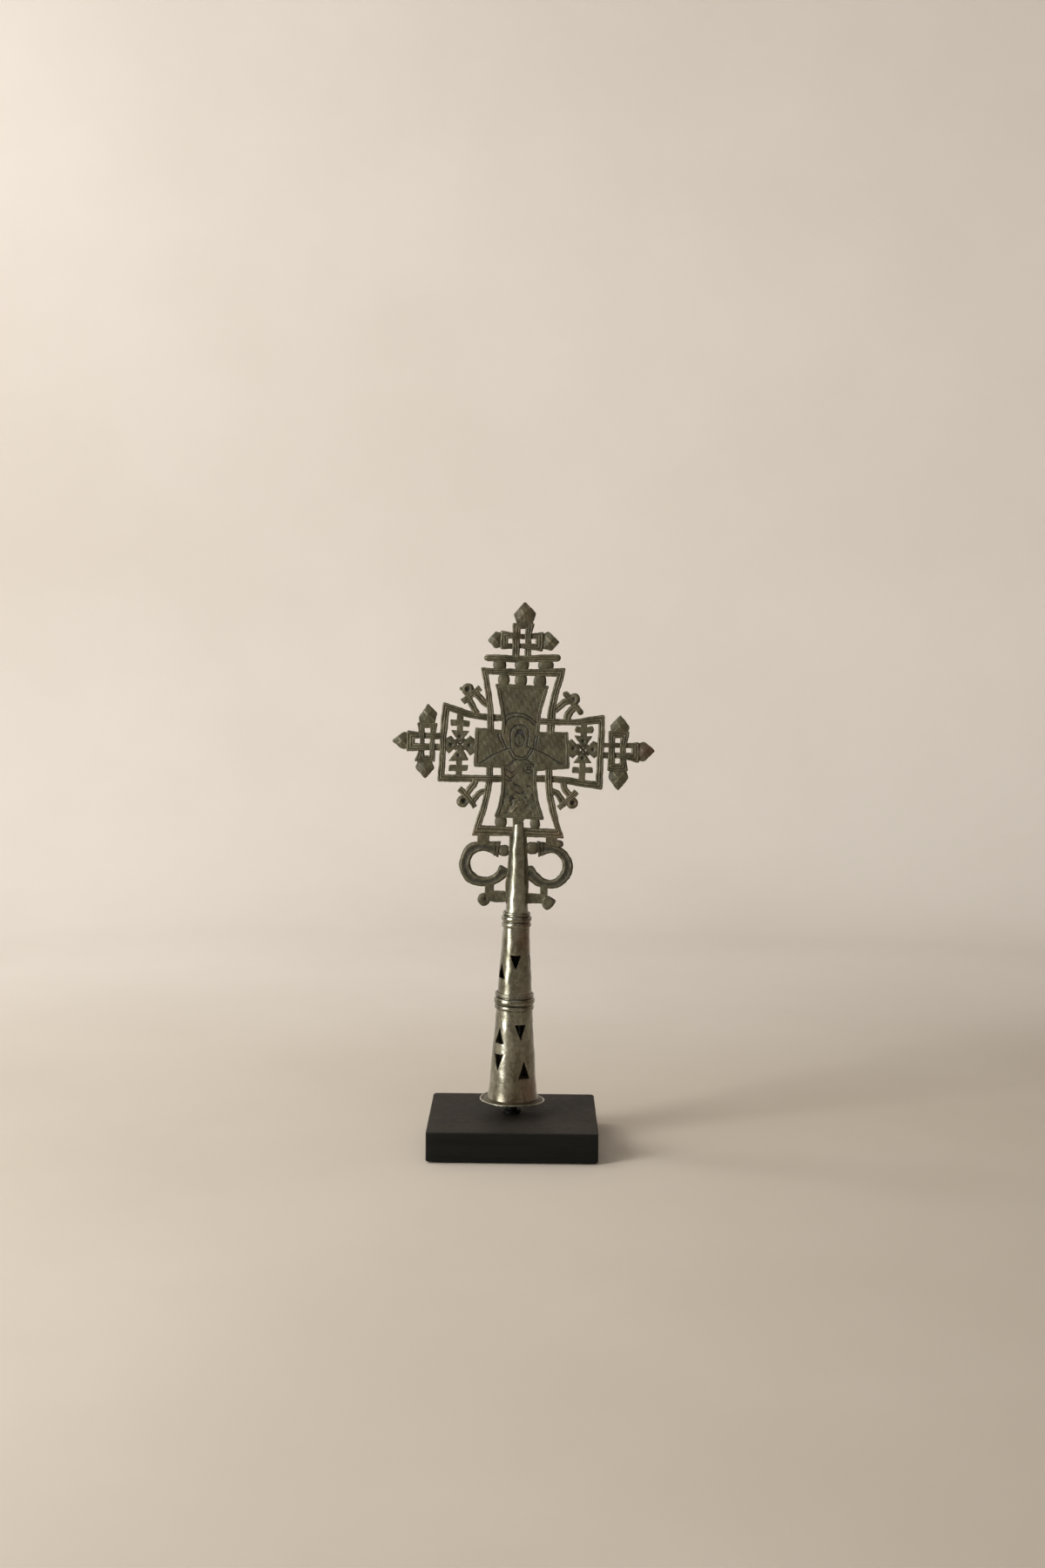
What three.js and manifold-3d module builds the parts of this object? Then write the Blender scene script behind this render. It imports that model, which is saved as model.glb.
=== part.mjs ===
// Ethiopian hand cross on its display stand: a lost-wax bronze head on a shaft of sheet-metal tubes,
// slipped over a steel rod that rises from a black wooden block.
// Millimetres, Z up. The origin is the middle of the block's underside and the front faces -Y.
import * as THREE from 'three';
import { mergeVertices } from 'three/addons/utils/BufferGeometryUtils.js';
import { ConvexGeometry } from 'three/addons/geometries/ConvexGeometry.js';
import Module from 'manifold-3d';

const wasm = await Module();
wasm.setup();

// Clearances
const SEAT_GAP = 0.3;            // between pieces that rest on or in each other
const RUNNING_CLEARANCE = 0.35;  // round the rod, in each bore that turns or slides on it

// Display block
const BLOCK_WIDTH = 120;
const BLOCK_DEPTH = 110;
const BLOCK_HEIGHT = 21;
const BLOCK_CORNER = 1.5;
const BLOCK_EDGE = 0.7;
const FELT_THICKNESS = 1;
const FELT_INSET = 4;

// Rod and its fixings
const ROD_LEAN = THREE.MathUtils.degToRad(0.9);
const ROD_FOOT_X = -0.9;
const ROD_DIAMETER = 8;
const ROD_THREAD_END = 1.2;
const SHOULDER_DIAMETER = 13;
const SHOULDER_HEIGHT = 2.5;
const WASHER_DIAMETER = 17;
const WASHER_THICKNESS = 1.5;
const NUT_ACROSS_FLATS = 13;
const NUT_HEIGHT = 6.4;
const COUNTERBORE_DIAMETER = 22;
const COUNTERBORE_DEPTH = 10.4;
const SPIGOT_DIAMETER = 4.8;
const SPIGOT_LENGTH = 6;
const CAP_DIAMETER = 8;
const CAP_CROWN = 2;

// Shaft tubes, from the mouth up
const MOUTH_HEIGHT = 9.6;
const TUBE_WALL = 0.9;
const FLANGE_DIAMETER = 44.8;
const FLANGE_THICKNESS = 1;
const FLANGE_DISH = 0.9;
const RIM_WIRE_DIAMETER = 1.3;
const LOWER_TUBE = { length: 70, foot: 17.1, top: 12.5 };
const MIDDLE_TUBE = { length: 58.3, foot: 12.7, top: 9.1 };
const UPPER_TUBE = { length: 70, foot: 8.9, swell: 6.5, swellHeight: 27, top: 4.3 };
const SLIT_FOOT = 10.3;
const SLIT_CLEARANCE = 0.35;
const TUBE_SLANT = 0.25;
const PLUG_HEIGHT = 12;
const PLUG_RECESS = 0.5;

// Wire collars over the two joints of the shaft, each listed from its lowest wire
const COLLAR_GAP = 0.5;
const UPPER_COLLAR = { below: 4.9, wires: [
  { name: 'upper_collar_lower_wire', height: 3.8, proud: 1.1 },
  { name: 'upper_collar_band', height: 3.8, proud: 1.6 },
  { name: 'upper_collar_top_wire', height: 2, proud: 0.9 },
] };
const LOWER_COLLAR = { below: 6.5, wires: [
  { name: 'lower_collar_lower_wire', height: 4.2, proud: 1.1 },
  { name: 'lower_collar_band', height: 4.9, proud: 1.6 },
  { name: 'lower_collar_top_wire', height: 3.1, proud: 1.0 },
] };

// Punched triangles, in rows round the tubes: height above the tube's foot, turn of the first, its point up
// (1) or down (-1), and how far those that point down sit higher than those that point up
const TRIANGLES_ROUND = 5;
const TRIANGLE_WIDTH = 8.6;
const TRIANGLE_HEIGHT = 11.6;
const MIDDLE_ROW = { height: 26, turn: 1, point: -1, stagger: 6 };
const LOWER_ROWS = [
  { height: 48, turn: 21, point: -1, stagger: 2.5 },
  { height: 25.2, turn: 30, point: 1, stagger: 4 },
];

// Cast head: depths of the casting from front to back
const STRIP_DEPTH = 4.4;
const STEM_DEPTH = 4;
const PANEL_DEPTH = 3;
const WEAVE_LIFT = 0.6;
const GROOVE_SHARE = 0.78;
const EDGE_SHARE = 0.6;

// Cast head: stem down to its tang, measured from the head's centre
const STEM_NECK = [-4.4, 3];
const STEM_DROP = 112.2;
const STEM_TOP_WIDTH = 12.8;
const STEM_FOOT_WIDTH = 16;
const TANG_LENGTH = 13.4;
const TANG_WIDTH = 10.4;

// Cast head: the four woven brackets. A bracket opens inwards and is described looking outwards along its
// arm: waist and corner give the outer edge to the left and to the right, corner as [aside, out].
const BRACKET_WAIST = 23;
const BRACKET_STRIP = 5;
const BRACKETS = {
  up: { waist: [-24.3, 23.9], corner: [[-29.7, 56], [30.3, 57.1]], mitre: [5.6, 6.1], end: [4.9, 5.9] },
  right: { waist: [-21.6, 24.2], corner: [[-24.6, 58.8], [28.3, 58.6]], mitre: [6, 5.9], end: [3.9, 4.9] },
  down: { waist: [-23.2, 24.1], corner: [[-32.4, 63.7], [33.4, 63.4]], mitre: [6.5, 7.1], end: [6.8, 7.5] },
  left: { waist: [-24.4, 23.7], corner: [[-25.7, 58.4], [31.4, 56.2]], mitre: [5.5, 6.4], end: [4.8, 4.4] },
};

// Cast head: the flared panel. Each arm gives its two waist and its two end points as [aside, out].
const PANEL = {
  up: { waist: [-13.9, 12.6], end: [[-19.2, 45.2], [18.7, 44.5]] },
  right: { waist: [-12.4, 14.2], end: [[-12.4, 33.3], [14.2, 33.6]] },
  down: { waist: [-11.9, 13.4], end: [[-18, 50.8], [17.9, 49.7]] },
  left: { waist: [-14.4, 13.2], end: [[-14.4, 33], [13.5, 32.6]] },
};
const PANEL_BORDER = 2.6;
const PANEL_BORDER_DEPTH = 4.2;

// Cast head: the trefoils, each two woven loops and three faceted diamonds.
// A diamond is [reach, shoulder reach, half width, half root].
const WEAVE_STRIP = 5.6;
const WEAVE_PITCH = 4.6;
const TREFOILS = {
  up: {
    centre: [-0.5, 76.5], reach: 11.6, flanks: [15.3, 14.5], weave: 1,
    diamonds: { tip: [15, 6.3, 7.9, 4.9], flanks: [[9.3, 3.9, 6, 4.2], [11.7, 4.5, 6.7, 4]] },
  },
  right: {
    centre: [0.2, 68.6], reach: 15.2, flanks: [14, 14.5], weave: -1,
    diamonds: { tip: [11.2, 3.8, 7, 4.6], flanks: [[11.4, 3.3, 6.8, 5.4], [14, 5, 7.1, 4.8]] },
  },
  left: {
    centre: [2.9, 66.8], reach: 13.9, flanks: [14.2, 13.3], weave: 1,
    diamonds: { tip: [10.7, 2.9, 6.3, 4.6], flanks: [[12.2, 4.8, 6.6, 4.3], [13.5, 5.4, 6.5, 4.5]] },
  },
};
const DIAMOND_EDGE = 2.4;
const DIAMOND_DEPTH = 5;

// Cast head: cross bar and beads above the upper bracket, and the beads that carry the panel
const BAR = { left: [-27, 62.9], right: [26.5, 64.3], width: 5 };
const BEAD_DEPTH = 4.6;
const BEAD_SINK = 1.1;
const BAR_BEADS = [{ x: -16.3, width: 9.6 }, { x: -0.7, width: 10.4 }, { x: 16.3, width: 11 }];
const PANEL_TOP_BEADS = [{ x: -13, width: 8.4 }, { x: -1.1, width: 8.8 }, { x: 12.3, width: 9 }];
const PANEL_FOOT_BEADS = [{ x: -12.8, width: 8.4 }, { x: 11.5, width: 7.2 }];

// Cast head: the saltires inside the side brackets, with a small bar above and below each.
// An arm is [tip reach, half width at the tips, end reach, half width at the end].
const SALTIRES = {
  left: {
    centre: [-43, 1.6], up: [9.3, 6.2, 9.3, 6.2], down: [11, 6.8, 11, 6.8],
    left: [7, 6.4, 9.4, 4.2], right: [7.2, 7.2, 10.2, 4.6],
  },
  right: {
    centre: [44, -0.4], up: [9.7, 6.3, 9.7, 6.3], down: [8.9, 6.4, 8.9, 6.4],
    left: [7.4, 7.1, 10.7, 4.7], right: [7.4, 6.4, 10.1, 4.4],
  },
};
const SALTIRE_NECK = 2;
const SALTIRE_DEPTH = 4;
const SMALL_BAR = { gap: 3.2, height: 4.1, width: 13.4, stem: 4.4 };

// Cast head: the knots outside the four crossings, each two legs, a ridged bar and a round boss.
// Foot gives where the legs leave the upright strip (z) and the level strip (x).
const KNOTS = {
  upperLeft: { boss: [-38.3, 40], foot: [32.6, -32.8] },
  upperRight: { boss: [37, 35.4], foot: [29.6, 32.6] },
  lowerLeft: { boss: [-40.2, -39.2], foot: [-32.6, -33] },
  lowerRight: { boss: [37.8, -38.4], foot: [-30.6, 32.4] },
};
const KNOT_BAR = { back: 5.1, length: 13.6, width: 5 };
const KNOT_LEG_WIDTH = 5.4;
const BOSS_DIAMETER = 9;
const BOSS_DEPTH = 5.2;
const BOSS_PIT = 0.35;

// Cast head: the two open loops beside the stem, as an outer and an inner oval with a blunt head and a tail.
// The knob and the rail under each loop are measured up from the stem's foot.
const LOOPS = {
  left: {
    outer: { centre: [-25.2, -83.4], radii: [15.8, 16.1] },
    inner: { centre: [-22.8, -83.5], radii: [10.8, 9.2] },
    head: { outer: [-12.8, -67.3], inner: [-14, -78.4] },
    tail: { outer: [-8.6, -93.8], inner: [-12.4, -83.6] },
    hanger: -24.8, bead: { z: -73.4, height: 7.8 },
    drop: { x: -19.4, width: 6 }, knob: [-23.6, 3], rail: [9.7, 1.9],
  },
  right: {
    outer: { centre: [23.6, -83.7], radii: [15.8, 16.1] },
    inner: { centre: [22.2, -84], radii: [9.4, 9.4] },
    head: { outer: [13.2, -66.6], inner: [14.6, -77.4] },
    tail: { outer: [8.9, -94.6], inner: [10.6, -84] },
    hanger: 24.1, bead: { z: -71.4, height: 8.2 },
    drop: { x: 18.8, width: 5.4 }, knob: [22.6, 1.6], rail: [8.2, 1.4],
  },
};
const LOOP_DEPTH = 4.6;
const LOOP_ARC = { from: 100, to: 304, steps: 10 };
const HANGER_WIDTH = 8.5;
const KNOB_DIAMETER = 9.2;

// Smoothness
const TUBE_SEGMENTS = 36;
const WIRE_SEGMENTS = 32;
const ROD_SEGMENTS = 16;
const BEAD_SEGMENTS = 8;
const FLARE_STEPS = 3;

// Finishes
const finish = (color, metalness, roughness) =>
  new THREE.MeshStandardMaterial({ color, metalness, roughness });
const bronze = () => finish(0x4b4533, 0.8, 0.5);
const nickel = () => finish(0x9a9684, 0.95, 0.35);
const blackWood = () => finish(0x1a1917, 0, 0.7);
const steel = () => finish(0x242322, 0.9, 0.5);

const root = new THREE.Group();
const cross = new THREE.Group();
cross.position.set(ROD_FOOT_X, 0, FELT_THICKNESS + BLOCK_HEIGHT);
cross.rotation.y = ROD_LEAN;
root.add(cross);

// Solids and meshes
function signedVolume(position, index) {
  const [a, b, c] = [new THREE.Vector3(), new THREE.Vector3(), new THREE.Vector3()];
  let volume = 0;
  for (let i = 0; i < index.count; i += 3) {
    a.fromBufferAttribute(position, index.getX(i));
    b.fromBufferAttribute(position, index.getX(i + 1));
    c.fromBufferAttribute(position, index.getX(i + 2));
    volume += a.dot(b.cross(c)) / 6;
  }
  return volume;
}

function toSolid(geometry) {
  const bare = geometry.clone();
  for (const name of ['normal', 'uv']) bare.deleteAttribute(name);
  const merged = mergeVertices(bare, 1e-4);
  const triVerts = new Uint32Array(merged.index.array);
  if (signedVolume(merged.attributes.position, merged.index) < 0) triVerts.reverse();
  const vertProperties = new Float32Array(merged.attributes.position.array);
  return new wasm.Manifold(new wasm.Mesh({ numProp: 3, vertProperties, triVerts }));
}

function toGeometry(solid) {
  const mesh = solid.getMesh();
  const geometry = new THREE.BufferGeometry();
  geometry.setAttribute('position', new THREE.BufferAttribute(mesh.vertProperties, 3));
  geometry.setIndex(new THREE.BufferAttribute(mesh.triVerts, 1));
  geometry.computeVertexNormals();
  return geometry;
}

const joined = (solids) => solids.reduce((sum, solid) => sum.add(solid));
const cutFrom = (solid, cutters) => cutters.reduce((rest, cutter) => rest.subtract(cutter), solid);

function addMesh(parent, name, solid, material) {
  const mesh = new THREE.Mesh(toGeometry(solid), material);
  mesh.name = name;
  parent.add(mesh);
}

// Round pieces about the rod's axis, from an outline of [radius, height] points
function turned(outline, segments = TUBE_SEGMENTS) {
  const points = [...outline, outline[0]].map(([radius, height]) => new THREE.Vector2(radius, height));
  return toSolid(new THREE.LatheGeometry(points, segments).rotateX(Math.PI / 2));
}

function disc(radius, bottom, top, segments = TUBE_SEGMENTS) {
  return turned([[0, bottom], [radius, bottom], [radius, top], [0, top]], segments);
}

function washer(inner, outer, bottom, top, segments = TUBE_SEGMENTS) {
  return turned([[inner, bottom], [outer, bottom], [outer, top], [inner, top]], segments);
}

// Flat pieces in the head's plane: an outline of [x, z] points, centred on the plane
function plate(outline, depth) {
  const shape = new THREE.Shape(outline.map(([x, z]) => new THREE.Vector2(x, z)));
  const geometry = new THREE.ExtrudeGeometry(shape, { depth, bevelEnabled: false });
  return toSolid(geometry.rotateX(Math.PI / 2).translate(0, depth / 2, 0));
}

const box = ([left, bottom], [right, top], depth) =>
  plate([[left, bottom], [right, bottom], [right, top], [left, top]], depth);

// The section of a cast strip, as [share across, share of the half depth]: ridged in front, crowned behind
function ridgedSection(ridges) {
  const front = [[0, EDGE_SHARE]];
  for (let ridge = 0; ridge < ridges; ridge += 1) {
    front.push([(ridge + 0.5) / ridges, 1]);
    front.push([(ridge + 1) / ridges, ridge + 1 < ridges ? GROOVE_SHARE : EDGE_SHARE]);
  }
  return [...front, [1, -EDGE_SHARE], [0.5, -1], [0, -EDGE_SHARE]];
}

// A strip through stations { left, right, lift }: the section is carried from each left edge point to the
// right one and lifted towards the front. An open strip is capped by a fan from the middle of its ends.
function strip(stations, { ridges = 3, depth = STRIP_DEPTH, closed = false } = {}) {
  const section = ridgedSection(ridges);
  const size = section.length;
  const positions = [];
  const push = ({ left, right, lift = 0 }, [share, height]) => {
    const x = left[0] + (right[0] - left[0]) * share;
    const z = left[1] + (right[1] - left[1]) * share;
    positions.push(x, -lift - (height * depth) / 2, z);
  };
  for (const station of stations) for (const point of section) push(station, point);
  const index = [];
  const count = stations.length;
  for (let i = 0; i < (closed ? count : count - 1); i += 1) {
    const [near, far] = [i * size, ((i + 1) % count) * size];
    for (let k = 0; k < size; k += 1) {
      const next = (k + 1) % size;
      index.push(near + k, near + next, far + next, near + k, far + next, far + k);
    }
  }
  if (!closed) {
    const middle = count * size;
    push(stations[0], [0.5, 0]);
    push(stations[count - 1], [0.5, 0]);
    for (let k = 0; k < size; k += 1) {
      const next = (k + 1) % size;
      index.push(middle, next, k, middle + 1, middle - size + k, middle - size + next);
    }
  }
  const geometry = new THREE.BufferGeometry();
  geometry.setAttribute('position', new THREE.Float32BufferAttribute(positions, 3));
  geometry.setIndex(index);
  return toSolid(geometry);
}

// Stations of a strip of even width along a path of points, with mitred corners
function alongPath(path, width, { closed = false, lifts = [] } = {}) {
  const points = path.map(([x, z]) => new THREE.Vector2(x, z));
  const count = points.length;
  const direction = (from, to) => points[to].clone().sub(points[from]).normalize();
  return points.map((point, i) => {
    const before = i > 0 || closed ? direction((i + count - 1) % count, i) : null;
    const after = i < count - 1 || closed ? direction(i, (i + 1) % count) : null;
    const along = (before ?? after).clone().add(after ?? before).normalize();
    const stretch = 1 / along.dot(after ?? before);
    const aside = new THREE.Vector2(-along.y, along.x).multiplyScalar((width / 2) * stretch);
    const [left, right] = [point.clone().add(aside), point.clone().sub(aside)];
    return { left: left.toArray(), right: right.toArray(), lift: lifts[i] ?? 0 };
  });
}

// Points of an outline edge that leaves its start straight outwards and bends to its end
function flare([startAside, startOut], [endAside, endOut]) {
  const bend = new THREE.Vector2(startAside, startOut + 0.4 * (endOut - startOut));
  const curve = new THREE.QuadraticBezierCurve(
    new THREE.Vector2(startAside, startOut), bend, new THREE.Vector2(endAside, endOut));
  return curve.getPoints(FLARE_STEPS).map((point) => point.toArray());
}

// Arms are described as [aside, out] looking outwards, and turned to their place on the head. They divide the
// full turn evenly, counted from the upper one against the clock.
const ARM_ORDER = ['up', 'left', 'down', 'right'];
function toHead(arm, [aside, out]) {
  const turn = (ARM_ORDER.indexOf(arm) * 2 * Math.PI) / ARM_ORDER.length;
  return [aside * Math.cos(turn) - out * Math.sin(turn), aside * Math.sin(turn) + out * Math.cos(turn)];
}

// A sphere pressed to a bead of given width, height and depth
function bead(x, z, width, height, depth = BEAD_DEPTH) {
  const ball = new THREE.SphereGeometry(0.5, BEAD_SEGMENTS, BEAD_SEGMENTS / 2).rotateX(Math.PI / 2);
  return toSolid(ball.scale(width, depth, height).translate(x, 0, z));
}

// A faceted plate: a convex outline of even edge depth that rises to a point on both faces
function faceted(outline, edgeDepth, fullDepth) {
  const total = outline.reduce((sum, [x, z]) => [sum[0] + x, sum[1] + z], [0, 0]);
  const middle = total.map((value) => value / outline.length);
  const points = outline.flatMap(([x, z]) => [
    new THREE.Vector3(x, edgeDepth / 2, z), new THREE.Vector3(x, -edgeDepth / 2, z)]);
  for (const side of [-1, 1]) points.push(new THREE.Vector3(middle[0], (side * fullDepth) / 2, middle[1]));
  return toSolid(new ConvexGeometry(points));
}

// Bracket: two feet rise straight from the panel to the waist, flare to the corners and meet in the end
// strip. Seen from the front, each left strip passes over the strip it crosses and each right one under it.
function bracket(arm) {
  const { waist, corner, mitre, end } = BRACKETS[arm];
  const half = [0, 1].map((side) => {
    const inward = side === 0 ? 1 : -1;
    const waistIn = waist[side] + inward * BRACKET_STRIP;
    const cornerIn = [corner[side][0] + inward * mitre[side], corner[side][1] - end[side]];
    const outer = [[waist[side], footReach(arm, side)], ...flare([waist[side], BRACKET_WAIST], corner[side])];
    const inner = [[waistIn, footReach(arm, side)], ...flare([waistIn, BRACKET_WAIST], cornerIn)];
    return outer.map((point, i) => ({
      left: toHead(arm, point), right: toHead(arm, inner[i]), lift: inward * WEAVE_LIFT,
    }));
  });
  return strip([...half[0], ...half[1].reverse()]);
}

// The feet of a bracket end inside the border of the panel's neighbouring arm
function footReach(arm, side) {
  const place = ARM_ORDER.indexOf(arm) + (side === 0 ? 1 : ARM_ORDER.length - 1);
  const neighbour = PANEL[ARM_ORDER[place % ARM_ORDER.length]];
  const edge = Math.abs(neighbour.waist[side === 0 ? 1 : 0]);
  return edge - PANEL_BORDER / 4;
}

// Panel: the outline runs round the four arms; the long arms flare, the side arms are straight
function panelOutline() {
  const order = ['up', 'right', 'down', 'left'];
  return order.flatMap((arm, i) => {
    const { waist, end } = PANEL[arm];
    const before = PANEL[order[(i + 3) % 4]];
    const after = PANEL[order[(i + 1) % 4]];
    const rise = flare([waist[0], Math.abs(before.waist[1])], end[0]);
    const fall = flare([waist[1], Math.abs(after.waist[0])], end[1]).reverse();
    const straight = arm === 'left' || arm === 'right';
    const keep = (points) => (straight ? [points[0], points[points.length - 1]] : points);
    return [...keep(rise), ...keep(fall)].map((point) => toHead(arm, point));
  });
}

function withoutRepeats(outline) {
  return outline.filter(([x, z], i) => {
    const [px, pz] = outline[(i + outline.length - 1) % outline.length];
    return Math.hypot(x - px, z - pz) > 0.05;
  });
}

function panel() {
  const outline = withoutRepeats(panelOutline());
  const border = alongPath(outline, PANEL_BORDER * 2, { closed: true })
    .map(({ right }, i) => ({ left: outline[i], right }));
  return [plate(outline, PANEL_DEPTH), strip(border, { ridges: 1, depth: PANEL_BORDER_DEPTH, closed: true })];
}

// Trefoil: a loop along the arm and a loop across it, woven at their four crossings
function trefoil(arm) {
  const { centre, reach, flanks, weave, diamonds } = TREFOILS[arm];
  const root = trefoilRoot(arm, centre[0]);
  const half = WEAVE_STRIP / 2;
  const [left, right] = [centre[0] - WEAVE_PITCH, centre[0] + WEAVE_PITCH];
  const [low, high] = [centre[1] - WEAVE_PITCH, centre[1] + WEAVE_PITCH];
  const top = centre[1] + reach - half;
  const [far, near] = [centre[0] - flanks[0] + half, centre[0] + flanks[1] - half];
  const lengthwise = [[left, root], [left, low], [left, high], [left, top],
    [right, top], [right, high], [right, low], [right, root]];
  const crosswise = [[far, low], [far, high], [left, high], [right, high],
    [near, high], [near, low], [right, low], [left, low]];
  const lift = weave * WEAVE_LIFT;
  const loop = (path, lifts, closed) => {
    const onHead = path.map((point) => toHead(arm, point));
    return strip(alongPath(onHead, WEAVE_STRIP, { closed, lifts }), { ridges: 2, closed });
  };
  const pieces = [
    loop(lengthwise, [0, lift, -lift, 0, 0, lift, -lift, 0], false),
    loop(crosswise, [0, 0, lift, -lift, 0, 0, lift, -lift], true),
    diamond(arm, [centre[0], centre[1] + reach], [0, 1], diamonds.tip),
  ];
  for (const side of [0, 1]) {
    const outward = side === 0 ? -1 : 1;
    const start = [centre[0] + outward * flanks[side], centre[1]];
    pieces.push(diamond(arm, start, [outward, 0], diamonds.flanks[side]));
  }
  return pieces;
}

// Where a trefoil's long loop ends inside the bar or the end strip that carries it
function trefoilRoot(arm, aside) {
  if (arm === 'up') return barHeight(aside);
  const { corner, end } = BRACKETS[arm];
  const share = (aside - corner[0][0]) / (corner[1][0] - corner[0][0]);
  return corner[0][1] + share * (corner[1][1] - corner[0][1]) - (end[0] + end[1]) / 4;
}

// Diamond: starts inside the end strip of its loop and points away from the trefoil
function diamond(arm, [startAside, startOut], [dirAside, dirOut], [reach, shoulder, halfWidth, halfRoot]) {
  const sunk = -WEAVE_STRIP / 2;
  const at = (along, aside) => toHead(arm, [
    startAside + dirAside * along + dirOut * aside, startOut + dirOut * along - dirAside * aside]);
  const outline = [at(reach, 0), at(shoulder, halfWidth), at(sunk, halfRoot), at(sunk, -halfRoot),
    at(shoulder, -halfWidth)];
  return faceted(outline, DIAMOND_EDGE, DIAMOND_DEPTH);
}

// Cross bar over the upper bracket, and the height of its centre line at x
function barHeight(x) {
  const share = (x - BAR.left[0]) / (BAR.right[0] - BAR.left[0]);
  return BAR.left[1] + share * (BAR.right[1] - BAR.left[1]);
}

// Edge heights of the end strips of the upper and lower brackets at x, and of the panel's ends
function endHeight(arm, x, inner) {
  const { corner, end } = BRACKETS[arm];
  const [from, to] = corner.map(([aside, out], side) => toHead(arm, [aside, out - (inner ? end[side] : 0)]));
  return from[1] + ((x - from[0]) / (to[0] - from[0])) * (to[1] - from[1]);
}

function panelEnd(arm, x) {
  const [from, to] = PANEL[arm].end.map((point) => toHead(arm, point));
  return from[1] + ((x - from[0]) / (to[0] - from[0])) * (to[1] - from[1]);
}

function beadBetween(x, width, low, high) {
  return bead(x, (low + high) / 2, width, high - low + 2 * BEAD_SINK);
}

function barAndBeads() {
  const pieces = [strip(alongPath([BAR.left, BAR.right], BAR.width))];
  for (const { x, width } of BAR_BEADS) {
    pieces.push(beadBetween(x, width, endHeight('up', x, false), barHeight(x) - BAR.width / 2));
  }
  for (const { x, width } of PANEL_TOP_BEADS) {
    pieces.push(beadBetween(x, width, panelEnd('up', x), endHeight('up', x, true)));
  }
  for (const { x, width } of PANEL_FOOT_BEADS) {
    pieces.push(beadBetween(x, width, endHeight('down', x, true), panelEnd('down', x)));
  }
  return pieces;
}

// Saltire: four flared arms about a narrow neck, with a small bar and its stem above and below
function saltire(side) {
  const spec = SALTIRES[side];
  const [cx, cz] = spec.centre;
  const pieces = ARM_ORDER.map((arm) => {
    const [tipReach, tipHalf, endReach, endHalf] = spec[arm];
    const neck = SALTIRE_NECK / 2;
    const outline = [[neck, 0], [tipHalf, tipReach], [endHalf, endReach + 0.01],
      [-endHalf, endReach + 0.01], [-tipHalf, tipReach], [-neck, 0]];
    return plate(outline.map((point) => toHead(arm, point)).map(([x, z]) => [cx + x, cz + z]), SALTIRE_DEPTH);
  });
  for (const arm of ['up', 'down']) {
    const sign = arm === 'up' ? 1 : -1;
    const near = cz + sign * (spec[arm][2] + SMALL_BAR.gap);
    const far = near + sign * SMALL_BAR.height;
    const level = (width, from, to) => box(
      [cx - width / 2, Math.min(from, to)], [cx + width / 2, Math.max(from, to)], SALTIRE_DEPTH);
    pieces.push(level(SMALL_BAR.width, near, far), level(SMALL_BAR.stem, cz, levelStrip(side, arm)));
  }
  return pieces;
}

// Centre heights of a side bracket's level strips and centre places of the upper brackets' upright strips
function levelStrip(side, upOrDown) {
  const upperFirst = side === 'right';
  const slot = (upOrDown === 'up') === upperFirst ? 0 : 1;
  const edge = toHead(side, [BRACKETS[side].waist[slot], 0])[1];
  return edge - (Math.sign(edge) * BRACKET_STRIP) / 2;
}

function uprightStrip(side, upOrDown) {
  const slot = (side === 'left') === (upOrDown === 'up') ? 0 : 1;
  const edge = toHead(upOrDown, [BRACKETS[upOrDown].waist[slot], 0])[0];
  return edge - (Math.sign(edge) * BRACKET_STRIP) / 2;
}

// Knot: legs rise from the upright and the level strip to a ridged bar that carries the boss
function knot(name) {
  const { boss, foot } = KNOTS[name];
  const upOrDown = name.startsWith('upper') ? 'up' : 'down';
  const side = name.endsWith('Left') ? 'left' : 'right';
  const [sx, sz] = [Math.sign(boss[0]) * Math.SQRT1_2, Math.sign(boss[1]) * Math.SQRT1_2];
  const bar = [boss[0] - sx * KNOT_BAR.back, boss[1] - sz * KNOT_BAR.back];
  const alongBar = (step) => [bar[0] + sz * step, bar[1] - sx * step];
  const spread = Math.sign(sx * sz) * (KNOT_LEG_WIDTH / 2);
  const leg = (from, to) => strip(alongPath([from, to], KNOT_LEG_WIDTH), { ridges: 1 });
  const pieces = [
    strip(alongPath([alongBar(-KNOT_BAR.length / 2), alongBar(KNOT_BAR.length / 2)], KNOT_BAR.width)),
    leg([uprightStrip(side, upOrDown), foot[0]], alongBar(-spread)),
    leg([foot[1], levelStrip(side, upOrDown)], alongBar(spread)),
  ];
  const rim = BOSS_DIAMETER / 2;
  const outline = [[0, -1 + BOSS_PIT], [0.5, -1], [1, -0.4], [1, 0.4], [0.6, 1], [0, 1]];
  const points = outline.map(([r, h]) => new THREE.Vector2(r * rim, (h * BOSS_DEPTH) / 2));
  const button = new THREE.LatheGeometry([...points, points[0]], 10);
  pieces.push(toSolid(button.translate(boss[0], 0, boss[1])));
  return pieces;
}

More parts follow.
